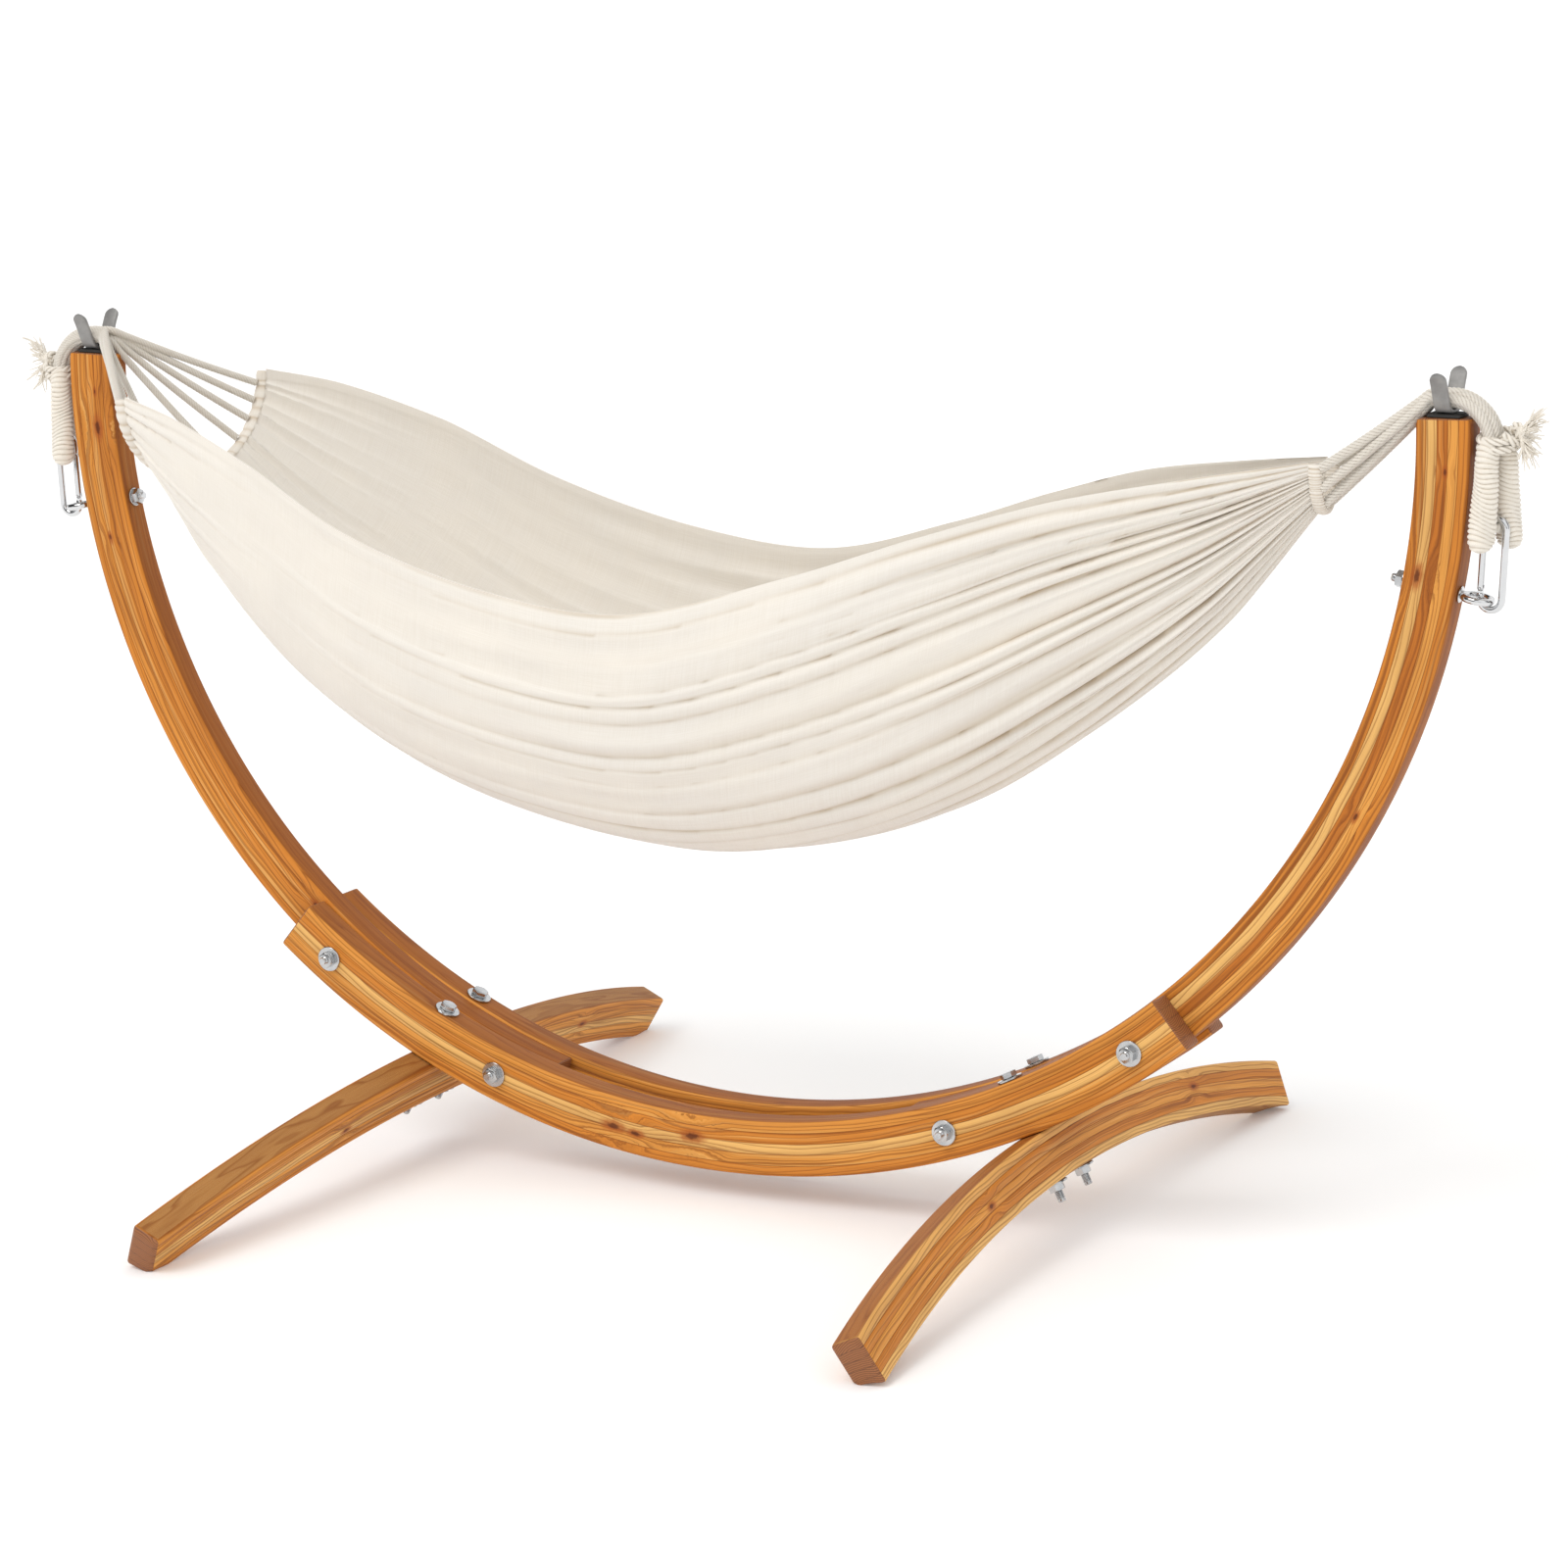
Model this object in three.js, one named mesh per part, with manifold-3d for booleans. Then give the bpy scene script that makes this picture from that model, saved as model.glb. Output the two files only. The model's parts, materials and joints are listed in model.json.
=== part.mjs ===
// Child's hammock on a bent-wood arc stand. Millimetres, +Z up.
// X runs along the hammock, Y across it, and Z = 0 is the ground under the feet.
import * as THREE from "three";
import { mergeVertices } from "three/addons/utils/BufferGeometryUtils.js";
import Module from "manifold-3d";

const wasm = await Module();
wasm.setup();

// ---- driving dimensions ----
const GAP = 0.3; // clearance between pieces that touch

// Two curved arms, held between two flatter curved rails.
const ARM_RADIUS = 860; // to the middle of the section
const ARM_DEPTH = 60; // along the radius
const ARM_WIDTH = 36; // along Y
const ARM_SHIFT = 6; // centre of each arm's arc, off the middle plane
const ARM_LOW_ANGLE = 15.7; // degrees from straight down
const ARM_TOP_ANGLE = 91.7;
const ARM_TOP_CHAMFER = 4;
const RAIL_RADIUS = 900;
const RAIL_DEPTH = ARM_DEPTH + 5;
const RAIL_WIDTH = 36;
const RAIL_HALF_ANGLE = 39.6;
const WOOD_EDGE = 3; // rounding of the long edges

// Two arched cross feet, each in a plane square to the rails.
const FOOT_ANGLE = 25.4; // where it sits on the rails
const FOOT_RADIUS = 2100;
const FOOT_DEPTH = 58;
const FOOT_WIDTH = 36;
const FOOT_HALF_LENGTH = 580;
const FOOT_CUT = 10; // how much of the lowest corner is cut level
const FOOT_STEPS = 16; // flats along each side of a foot

// Fasteners.
const BOLT = 10; // thread diameter
const BOLT_ANGLES = [35.7, 19.3]; // the two through bolts of each side
const WASHER = 30;
const WASHER_THICK = 2.5;
const NUT_FLATS = 17;
const NUT_HEIGHT = 8;
const HEAD_HEIGHT = 6.5;
const BOLT_STUB = 6; // thread past a nut on the rails
const FOOT_BOLT_STUB = 14; // thread past a nut under the feet

// Fork hook on top of each arm.
const HOOK_WIDTH = 18;
const HOOK_THICK = 4;
const HOOK_REACH = 37; // prong tip from the middle
const HOOK_HEIGHT = 46;
const PAD_THICK = 3;
const SCREW = 5;

// Eye bolt, snap hook and rope.
const EYE_ANGLE = 79.5;
const EYE_RING = 15; // ring radius to the middle of the wire
const EYE_WIRE = 8;
const SNAP_HALF_WIDTH = 12; // to the middle of the wire
const SNAP_WIRE = 8;
const BUNDLE = 30; // the cords where they lie together
const LOOP_LEG = 28; // one whipped leg of the end loop
const LOOP_DROP = 139; // bottom of the loop below the hook line

// Hammock.
const CORD_SPAN = 145; // from the hook in to the hem
const BED_HALF_WIDTH = 248;
const BED_DROP = 560; // lowest point below the hook line
const CLOTH_THICK = 3;
const LEFT_CORDS = 10;
const LEFT_CORD = 9;
const RIGHT_CORDS = 6;
const RIGHT_CORD = 11;
const CORD_REACH = 0.89; // the outermost cord, as a share of the hem's half length
const LEFT_CROWD = 0.6; // below 1, the cords crowd toward the ends of the hem
const RIGHT_CROWD = 0.75;

// Along the bed: place (-1 left hem, 1 right hem), half width, rim drop, belly drop,
// the last three as shares of BED_HALF_WIDTH and BED_DROP.
const BED_STATIONS = [
  [-1, 0.6, 0.1, 0.3],
  [-0.88, 0.72, 0.13, 0.54],
  [-0.7, 0.86, 0.21, 0.75],
  [-0.5, 0.96, 0.33, 0.89],
  [-0.25, 1, 0.42, 0.975],
  [0, 1, 0.45, 1],
  [0.25, 0.9, 0.37, 0.95],
  [0.45, 0.74, 0.285, 0.85],
  [0.65, 0.53, 0.21, 0.68],
  [0.85, 0.3, 0.165, 0.46],
  [1, 0.11, 0.137, 0.235],
];

// ---- materials ----
const LARCH = new THREE.MeshStandardMaterial({ color: 0xc98a45, roughness: 0.5, metalness: 0 });
const ZINC = new THREE.MeshStandardMaterial({ color: 0xc9cccf, roughness: 0.25, metalness: 1 });
const GREY_STEEL = new THREE.MeshStandardMaterial({ color: 0x9a9996, roughness: 0.4, metalness: 0.9 });
const BLACK_RUBBER = new THREE.MeshStandardMaterial({ color: 0x1d1b1a, roughness: 0.8, metalness: 0 });
const COTTON_ROPE = new THREE.MeshStandardMaterial({ color: 0xe0d8c8, roughness: 0.9, metalness: 0 });
const COTTON_CLOTH = new THREE.MeshStandardMaterial({ color: 0xeee8dc, roughness: 0.9, metalness: 0 });

// ---- frame of the stand ----
const rad = THREE.MathUtils.degToRad;
const vec = (x, y, z) => new THREE.Vector3(x, y, z);
const DOWN_TO_UP = vec(0, 0, 1);

// Distance from the rail centre to the middle of a foot, on the line it sits on.
const FOOT_MIDDLE = RAIL_RADIUS + RAIL_DEPTH / 2 + GAP + FOOT_DEPTH / 2;
const FOOT_END = Math.asin(FOOT_HALF_LENGTH / (FOOT_RADIUS + FOOT_DEPTH / 2));

function lowestFootCorner() {
  const radius = FOOT_RADIUS - FOOT_DEPTH / 2;
  const reach = FOOT_MIDDLE + FOOT_RADIUS - radius * Math.cos(FOOT_END);
  return RAIL_RADIUS - Math.cos(rad(FOOT_ANGLE)) * reach - (Math.sin(rad(FOOT_ANGLE)) * FOOT_WIDTH) / 2;
}

const BASE = -lowestFootCorner() - FOOT_CUT; // ground to the lowest point of the rail's middle line
const RAIL_CENTRE = BASE + RAIL_RADIUS;
const ARM_CENTRE = BASE + ARM_RADIUS;

// A point of the right arm's side plane, at an angle from straight down and a distance from the arc.
function armPoint(angle, offset = 0, y = 0) {
  const r = ARM_RADIUS + offset;
  return vec(ARM_SHIFT + r * Math.sin(rad(angle)), y, ARM_CENTRE - r * Math.cos(rad(angle)));
}

function railPoint(angle, offset = 0, y = 0) {
  const r = RAIL_RADIUS + offset;
  return vec(r * Math.sin(rad(angle)), y, RAIL_CENTRE - r * Math.cos(rad(angle)));
}

const ARM_TOP = armPoint(ARM_TOP_ANGLE);
const HOOK_X = ARM_TOP.x;
const ARM_TOP_Z = armPoint(ARM_TOP_ANGLE, ARM_DEPTH / 2).z + GAP;
const HOOK_Z = ARM_TOP_Z + PAD_THICK + GAP;
const SWING_Z = HOOK_Z + HOOK_THICK + GAP + BUNDLE / 2; // the hammock turns on this line
const HEM_X = HOOK_X - CORD_SPAN;

// ---- solids ----
function solid(geometry) {
  const bare = geometry.clone();
  bare.deleteAttribute("normal");
  bare.deleteAttribute("uv");
  const merged = mergeVertices(bare, 1e-3);
  const mesh = new wasm.Mesh({
    numProp: 3,
    vertProperties: merged.attributes.position.array,
    triVerts: new Uint32Array(merged.index.array),
  });
  return new wasm.Manifold(mesh);
}

function geometryOf(body) {
  const mesh = body.getMesh();
  const geometry = new THREE.BufferGeometry();
  geometry.setAttribute("position", new THREE.BufferAttribute(new Float32Array(mesh.vertProperties), 3));
  geometry.setIndex(new THREE.BufferAttribute(new Uint32Array(mesh.triVerts), 1));
  geometry.computeVertexNormals();
  return geometry;
}

function joined(geometries) {
  return geometryOf(geometries.map(solid).reduce((sum, body) => sum.add(body)));
}

function cut(geometry, tools) {
  return geometryOf(tools.map(solid).reduce((rest, tool) => rest.subtract(tool), solid(geometry)));
}

// Turns a geometry built along +Z so that it starts at a point and runs along a direction.
function along(geometry, start, direction) {
  const turn = new THREE.Quaternion().setFromUnitVectors(DOWN_TO_UP, direction.clone().normalize());
  return geometry.applyQuaternion(turn).translate(start.x, start.y, start.z);
}

// A round or six-sided bar standing on Z = bottom.
function bar(diameter, bottom, top, sides = 16) {
  const body = new THREE.CylinderGeometry(diameter / 2, diameter / 2, top - bottom, sides);
  return body.rotateX(Math.PI / 2).translate(0, 0, (top + bottom) / 2);
}

function hex(flats, bottom, top) {
  return bar(flats / Math.cos(Math.PI / 6), bottom, top, 6);
}

function tube(points, radius, sides = 10, steps = 16) {
  const section = new THREE.Shape();
  for (let i = 0; i < sides; i += 1) {
    const a = (2 * Math.PI * i) / sides;
    const move = i === 0 ? "moveTo" : "lineTo";
    section[move](radius * Math.cos(a), radius * Math.sin(a));
  }
  section.closePath();
  const extrudePath = new THREE.CatmullRomCurve3(points, false, "centripetal");
  return new THREE.ExtrudeGeometry(section, { steps, extrudePath, curveSegments: 1 });
}

// A flat outline drawn in X and Z, made `width` thick along Y around `y`, with rounded edges.
function plank(outline, width, y) {
  const options = {
    depth: width - 2 * WOOD_EDGE,
    bevelThickness: WOOD_EDGE,
    bevelSize: WOOD_EDGE,
    bevelOffset: -WOOD_EDGE,
    bevelSegments: 1,
  };
  const body = new THREE.ExtrudeGeometry(new THREE.Shape(outline), options);
  return body.rotateX(Math.PI / 2).translate(0, y + width / 2 - WOOD_EDGE, 0);
}

// One point of an arc in a side plane, its angle in degrees from straight down.
function arcPoint(centreX, centreZ, radius, angle) {
  return new THREE.Vector2(centreX + radius * Math.sin(rad(angle)), centreZ - radius * Math.cos(rad(angle)));
}

function arcPoints(centreX, centreZ, radius, from, to, steps) {
  const points = [];
  for (let i = 0; i <= steps; i += 1) {
    points.push(arcPoint(centreX, centreZ, radius, from + ((to - from) * i) / steps));
  }
  return points;
}

// ---- wood ----
function armOutline() {
  const outer = ARM_RADIUS + ARM_DEPTH / 2;
  const inner = ARM_RADIUS - ARM_DEPTH / 2;
  const bevel = THREE.MathUtils.radToDeg(ARM_TOP_CHAMFER / ARM_RADIUS) * 0.8;
  const top = ARM_TOP_ANGLE - bevel;
  return [
    ...arcPoints(ARM_SHIFT, ARM_CENTRE, outer, ARM_LOW_ANGLE, top, 30),
    arcPoint(ARM_SHIFT, ARM_CENTRE, outer - ARM_TOP_CHAMFER, ARM_TOP_ANGLE),
    arcPoint(ARM_SHIFT, ARM_CENTRE, inner + ARM_TOP_CHAMFER, ARM_TOP_ANGLE),
    ...arcPoints(ARM_SHIFT, ARM_CENTRE, inner, top, ARM_LOW_ANGLE, 30),
  ];
}

function railOutline() {
  const outer = RAIL_RADIUS + RAIL_DEPTH / 2;
  const inner = RAIL_RADIUS - RAIL_DEPTH / 2;
  const soft = 0.7; // degrees taken off the inner corners
  const drop = 4;
  const end = RAIL_HALF_ANGLE;
  return [
    ...arcPoints(0, RAIL_CENTRE, outer, -end, end, 30),
    arcPoint(0, RAIL_CENTRE, inner + 3 * drop, end),
    arcPoint(0, RAIL_CENTRE, inner + drop, end - soft * 0.3),
    ...arcPoints(0, RAIL_CENTRE, inner, end - soft, soft - end, 30),
    arcPoint(0, RAIL_CENTRE, inner + drop, soft * 0.3 - end),
    arcPoint(0, RAIL_CENTRE, inner + 3 * drop, -end),
  ];
}

// Holes through the arm and both rails, along Y.
function throughHoles(spare) {
  return BOLT_ANGLES.map((angle) => {
    const at = railPoint(angle);
    return along(bar(BOLT + spare, -100, 100), at, vec(0, 1, 0));
  });
}

function eyeHole() {
  const start = armPoint(EYE_ANGLE, -ARM_DEPTH);
  return along(bar(BOLT + 2 * GAP, 0, 2 * ARM_DEPTH), start, outward(EYE_ANGLE));
}

function outward(angle) {
  return vec(Math.sin(rad(angle)), 0, -Math.cos(rad(angle)));
}

// Seen from the arm, its square end faces this way.
const TOP_WAY = vec(Math.cos(rad(ARM_TOP_ANGLE)), 0, Math.sin(rad(ARM_TOP_ANGLE)));

function armBody() {
  const screwHole = along(bar(SCREW + 2 * GAP, -46, 5, 12), vec(HOOK_X, 0, ARM_TOP_Z), DOWN_TO_UP);
  const level = new THREE.BoxGeometry(200, 200, 40).translate(HOOK_X, 0, ARM_TOP_Z - GAP + 20 - 1);
  return cut(plank(armOutline(), ARM_WIDTH, 0), [...throughHoles(2 * GAP), eyeHole(), screwHole, level]);
}

const RAIL_Y = ARM_WIDTH / 2 + GAP + RAIL_WIDTH / 2;

function footBoltHoles(spare) {
  const holes = [];
  for (const side of [-1, 1]) {
    for (const y of [-RAIL_Y, RAIL_Y]) {
      const start = railPoint(side * FOOT_ANGLE, -RAIL_DEPTH, y);
      holes.push(along(bar(BOLT + spare, 0, 300), start, outward(side * FOOT_ANGLE)));
    }
  }
  return holes;
}

function railBody(y) {
  const through = throughHoles(2 * GAP);
  const mirrored = BOLT_ANGLES.map((angle) => {
    return along(bar(BOLT + 2 * GAP, -100, 100), railPoint(-angle), vec(0, 1, 0));
  });
  const holes = footBoltHoles(2 * GAP).filter((_, i) => (i % 2 === 0) === y < 0);
  return cut(plank(railOutline(), RAIL_WIDTH, y), [...through, ...mirrored, ...holes]);
}

// A foot drawn flat: the first axis is Y, the second runs away from the rails' centre.
function footBody(side) {
  const centre = FOOT_MIDDLE + FOOT_RADIUS;
  const end = THREE.MathUtils.radToDeg(FOOT_END);
  const outline = [
    ...arcPoints(0, centre, FOOT_RADIUS + FOOT_DEPTH / 2, -end, end, FOOT_STEPS),
    ...arcPoints(0, centre, FOOT_RADIUS - FOOT_DEPTH / 2, end, -end, FOOT_STEPS),
  ];
  const options = {
    depth: FOOT_WIDTH - 2 * WOOD_EDGE,
    bevelThickness: WOOD_EDGE,
    bevelSize: WOOD_EDGE,
    bevelOffset: -WOOD_EDGE,
    bevelSegments: 1,
  };
  const body = new THREE.ExtrudeGeometry(new THREE.Shape(outline), options);
  body.translate(0, 0, WOOD_EDGE - FOOT_WIDTH / 2);
  const away = outward(side * FOOT_ANGLE);
  const across = vec(0, 1, 0).cross(away);
  body.applyMatrix4(new THREE.Matrix4().makeBasis(vec(0, 1, 0), away, across));
  body.translate(0, 0, RAIL_CENTRE);
  const ground = new THREE.BoxGeometry(4000, 4000, 200).translate(0, 0, -100);
  return cut(body, [ground, ...footBoltHoles(2 * GAP).slice(side < 0 ? 0 : 2, side < 0 ? 2 : 4)]);
}

// ---- fasteners ----
// A hex bolt along +Z with its washer; the head sits below Z = 0 and the thread runs to `length`.
function hexBolt(length) {
  const washer = bar(WASHER, -WASHER_THICK - GAP, -GAP, 20);
  const head = hex(NUT_FLATS, -WASHER_THICK - GAP - HEAD_HEIGHT, -WASHER_THICK / 2 - GAP);
  return joined([washer, head, bar(BOLT, -WASHER_THICK, length)]);
}

// A hex nut on its washer, past Z = 0.
function nutAndWasher(washer = WASHER) {
  const hole = BOLT + 2 * GAP;
  const nut = hex(NUT_FLATS, GAP, WASHER_THICK + GAP + NUT_HEIGHT);
  const plate = bar(washer, GAP, WASHER_THICK + GAP, 20);
  return cut(joined([nut, plate]), [bar(hole, -5, 30)]);
}

// ---- fork hook ----
function forkCurve(shift) {
  const half = [
    [0, 0],
    [0.24, 0.01],
    [0.42, 0.1],
    [0.56, 0.28],
    [0.7, 0.55],
    [0.86, 0.82],
    [1, 1],
  ];
  const left = half.slice(1).reverse();
  const points = [...left.map(([y, z]) => [-y, z]), ...half];
  const middle = points.map(([y, z]) => vec(0, y * HOOK_REACH, z * (HOOK_HEIGHT - HOOK_THICK)));
  const curve = new THREE.CatmullRomCurve3(middle, false, "centripetal");
  const out = [];
  for (let i = 0; i <= 20; i += 1) {
    const p = curve.getPoint(i / 20);
    const t = curve.getTangent(i / 20);
    out.push(new THREE.Vector2(p.y - t.z * shift, p.z + t.y * shift));
  }
  return out;
}

function forkBody(x) {
  const outline = [...forkCurve(-HOOK_THICK / 2), ...forkCurve(HOOK_THICK / 2).reverse()];
  const options = { depth: HOOK_WIDTH, bevelEnabled: false };
  const strip = new THREE.ExtrudeGeometry(new THREE.Shape(outline), options);
  strip.applyMatrix4(new THREE.Matrix4().makeBasis(vec(0, 1, 0), vec(0, 0, 1), vec(1, 0, 0)));
  strip.translate(x - HOOK_WIDTH / 2, 0, HOOK_Z + HOOK_THICK / 2);
  const face = new THREE.Shape();
  const r = HOOK_WIDTH / 2 + 0.01;
  const round = HOOK_Z + HOOK_HEIGHT - r;
  face.moveTo(x - r, HOOK_Z - 5);
  face.lineTo(x + r, HOOK_Z - 5);
  face.lineTo(x + r, round);
  face.absarc(x, round, r, 0, Math.PI, false);
  face.closePath();
  const mask = new THREE.ExtrudeGeometry(face, { depth: 200, bevelEnabled: false, curveSegments: 10 });
  mask.rotateX(Math.PI / 2).translate(0, 100, 0);
  const prongs = solid(strip).intersect(solid(mask));
  const screw = solid(bar(SCREW + 2 * GAP, -20, 20, 12).translate(x, 0, HOOK_Z));
  const sink = solid(bar(10, HOOK_THICK - 2.2, 20, 16).translate(x, 0, HOOK_Z));
  return geometryOf(prongs.subtract(screw).subtract(sink));
}

function screwBody(x) {
  const top = HOOK_Z + HOOK_THICK - 0.4;
  const head = bar(9.4, -1.5, 0, 16);
  return joined([head, bar(SCREW, -45, -1, 12)]).translate(x, 0, top);
}

function padBody(x) {
  const plate = new THREE.BoxGeometry(38, 32, PAD_THICK).translate(x, 0, ARM_TOP_Z + PAD_THICK / 2);
  return cut(plate, [bar(SCREW + 2 * GAP, -20, 20, 12).translate(x, 0, ARM_TOP_Z)]);
}

// ---- eye bolt and snap hook, on the right arm ----
const EYE_WAY = outward(EYE_ANGLE);
const EYE_FACE = armPoint(EYE_ANGLE, ARM_DEPTH / 2);
const RING_WIRE = armPoint(EYE_ANGLE, ARM_DEPTH / 2 + 5 + 2 * EYE_RING);
const LOOP_X = HOOK_X + ARM_DEPTH / 2 + 24;
const SADDLE_Z = SWING_Z - LOOP_DROP;
const SADDLE = 12; // rope squeezed inside the snap hook

function eyeBoltBody() {
  const shank = bar(BOLT, -ARM_DEPTH - WASHER_THICK - NUT_HEIGHT - BOLT_STUB, 4);
  const collar = bar(18, GAP, 2.5);
  const loop = new THREE.TorusGeometry(EYE_RING, EYE_WIRE / 2, 8, 20).rotateY(Math.PI / 2);
  loop.translate(0, 0, EYE_RING + 5);
  return along(joined([shank, collar, loop]), EYE_FACE, EYE_WAY);
}

// The snap hook's own axes: u away from the arm, v up from the eye to the rope.
const SNAP_FOOT = RING_WIRE.clone();
const SNAP_HEAD = vec(LOOP_X, 0, SADDLE_Z);
const SNAP_UP = SNAP_HEAD.clone().sub(SNAP_FOOT).normalize();
const SNAP_OUT = vec(0, 1, 0).cross(SNAP_UP);
const SNAP_LENGTH = SNAP_HEAD.distanceTo(SNAP_FOOT);
const SNAP_LOW = SNAP_HALF_WIDTH - (EYE_WIRE + SNAP_WIRE) / 2 - 0.4; // centre of the lower bend
const SNAP_HIGH = SNAP_LENGTH - SNAP_HALF_WIDTH + (SADDLE + SNAP_WIRE) / 2 + 0.6;
const GATE_LOW = SNAP_LOW + 10;
const GATE_HIGH = SNAP_HIGH - 12;

function snapPoint(u, v, y = 0) {
  return SNAP_FOOT.clone().addScaledVector(SNAP_OUT, u).addScaledVector(SNAP_UP, v).setY(y);
}

function snapWirePoints() {
  const w = SNAP_HALF_WIDTH;
  const points = [[-w, GATE_HIGH + 1], [-w, (GATE_HIGH + SNAP_HIGH) / 2]];
  for (let i = 0; i <= 8; i += 1) {
    const a = Math.PI - (Math.PI * i) / 8;
    points.push([w * Math.cos(a), SNAP_HIGH + w * Math.sin(a)]);
  }
  points.push([w, SNAP_HIGH - 12], [w, SNAP_LOW + 12]);
  for (let i = 0; i <= 8; i += 1) {
    const a = -(Math.PI * i) / 8;
    points.push([w * Math.cos(a), SNAP_LOW + w * Math.sin(a)]);
  }
  points.push([-w, (SNAP_LOW + GATE_LOW) / 2 - 2], [-w, GATE_LOW - 5.2]);
  return points.map(([u, v]) => snapPoint(u, v));
}

// A box square to the snap hook, centred on one of its points.
function snapBox(u, v, sizeU, sizeY, sizeV) {
  const body = new THREE.BoxGeometry(sizeU, sizeY, sizeV);
  body.applyMatrix4(new THREE.Matrix4().makeBasis(SNAP_OUT, vec(0, 1, 0), SNAP_UP));
  const at = snapPoint(u, v);
  return body.translate(at.x, at.y, at.z);
}

function snapBody() {
  const wire = tube(snapWirePoints(), SNAP_WIRE / 2, 8, 44);
  const tongue = snapBox(-SNAP_HALF_WIDTH, GATE_LOW - 3.5, 6, 2.6, 10);
  const pivot = snapPoint(-SNAP_HALF_WIDTH, GATE_LOW);
  const pin = along(bar(2.4, -SNAP_WIRE / 2, SNAP_WIRE / 2, 10), pivot, vec(0, 1, 0));
  return joined([wire, tongue, pin]);
}

function gateBody() {
  const bottom = snapPoint(-SNAP_HALF_WIDTH, GATE_LOW - 3.6);
  const length = GATE_HIGH - GATE_LOW + 4.2;
  const body = along(bar(SNAP_WIRE - 0.6, 0, length, 12), bottom, SNAP_UP);
  const slot = snapBox(-SNAP_HALF_WIDTH, GATE_LOW - 2, 12, 3.4, 12);
  const hole = along(bar(3.2, -10, 10, 10), snapPoint(-SNAP_HALF_WIDTH, GATE_LOW), vec(0, 1, 0));
  return cut(body, [slot, hole]);
}

// ---- rope end: over the hook, then a whipped loop, on the right arm ----
// The loop's legs part along this level direction.
const LEG_WAY = vec(0.43, 0.9, 0).normalize();

function legPoint(offset, z) {
  return vec(LOOP_X, 0, z).addScaledVector(LEG_WAY, offset);
}

function loopBody() {
  const tail = [
    vec(HOOK_X + GAP / 2, 0, SWING_Z),
    vec(HOOK_X + ARM_DEPTH * 0.15, 0, SWING_Z),
    vec(HOOK_X + ARM_DEPTH * 0.32, 0, SWING_Z - 2),
    vec(HOOK_X + ARM_DEPTH * 0.55, 0, SWING_Z - 9),
    vec(LOOP_X - 7, 0, SWING_Z - 24),
    vec(LOOP_X, 0, SWING_Z - 42),
    vec(LOOP_X, 0, SWING_Z - 58),
  ];
  const pieces = [tube(tail, BUNDLE / 2, 10, 10)];
  for (const way of [-1, 1]) {
    const leg = [
      legPoint(way * 6, SWING_Z - 0.29 * LOOP_DROP),
      legPoint(way * 14.3, SWING_Z - 0.45 * LOOP_DROP),
      legPoint(way * 15, SWING_Z - 0.68 * LOOP_DROP),
      legPoint(way * 19, SWING_Z - 0.9 * LOOP_DROP),
      legPoint(way * 21, SADDLE_Z - 12),
    ];
    pieces.push(tube(leg, LOOP_LEG / 2, 10, 8));
  }
  const saddle = [-19, 0, 19].map((offset) => legPoint(offset, SADDLE_Z));
  pieces.push(tube(saddle, SADDLE / 2, 8, 4));
  return joined(pieces);
}

function tuftBody() {
  const start = vec(LOOP_X + LOOP_LEG / 2 + 5.5, 5, SWING_Z - 0.31 * LOOP_DROP);
  const profile = [
    new THREE.Vector2(0, 0),
    new THREE.Vector2(5, 0),
    new THREE.Vector2(8, 8),
    new THREE.Vector2(6, 13),
    new THREE.Vector2(11, 24),
    new THREE.Vector2(9, 32),
    new THREE.Vector2(0, 34),
  ];
  const body = new THREE.LatheGeometry(profile, 12).rotateX(Math.PI / 2);
  return along(body, start, vec(0.85, 0.05, 0.5));
}

// ---- hammock ----
// Half width, rim height and belly height of the bed at a place from -1 to 1.
const BED_CURVES = [1, 2, 3].map((column) => {
  const points = BED_STATIONS.map((row) => vec(row[0], row[column], 0));
  return new THREE.CatmullRomCurve3(points, false, "centripetal");
});

function bedSection(t) {
  const place = BED_CURVES[0].getPoint(t);
  const [half, rim, belly] = BED_CURVES.map((curve) => curve.getPoint(t).y);
  return {
    x: place.x * HEM_X,
    half: half * BED_HALF_WIDTH,
    rim: SWING_Z - rim * BED_DROP,
    belly: SWING_Z - belly * BED_DROP,
  };
}

// A point of the cloth's middle surface: t along the bed, s from -1 (front rim) to 1.
function clothPoint(t, s) {
  const section = bedSection(t);
  const a = (s * Math.PI) / 2;
  const z = section.rim - (section.rim - section.belly) * Math.cos(a);
  return vec(section.x, section.half * Math.sin(a), z);
}

function clothNormal(t, s) {
  const step = 0.004;
  const dt = clothPoint(Math.min(t + step, 1), s).sub(clothPoint(Math.max(t - step, 0), s));
  const ds = clothPoint(t, s + step).sub(clothPoint(t, s - step));
  return dt.cross(ds).normalize();
}

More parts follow.
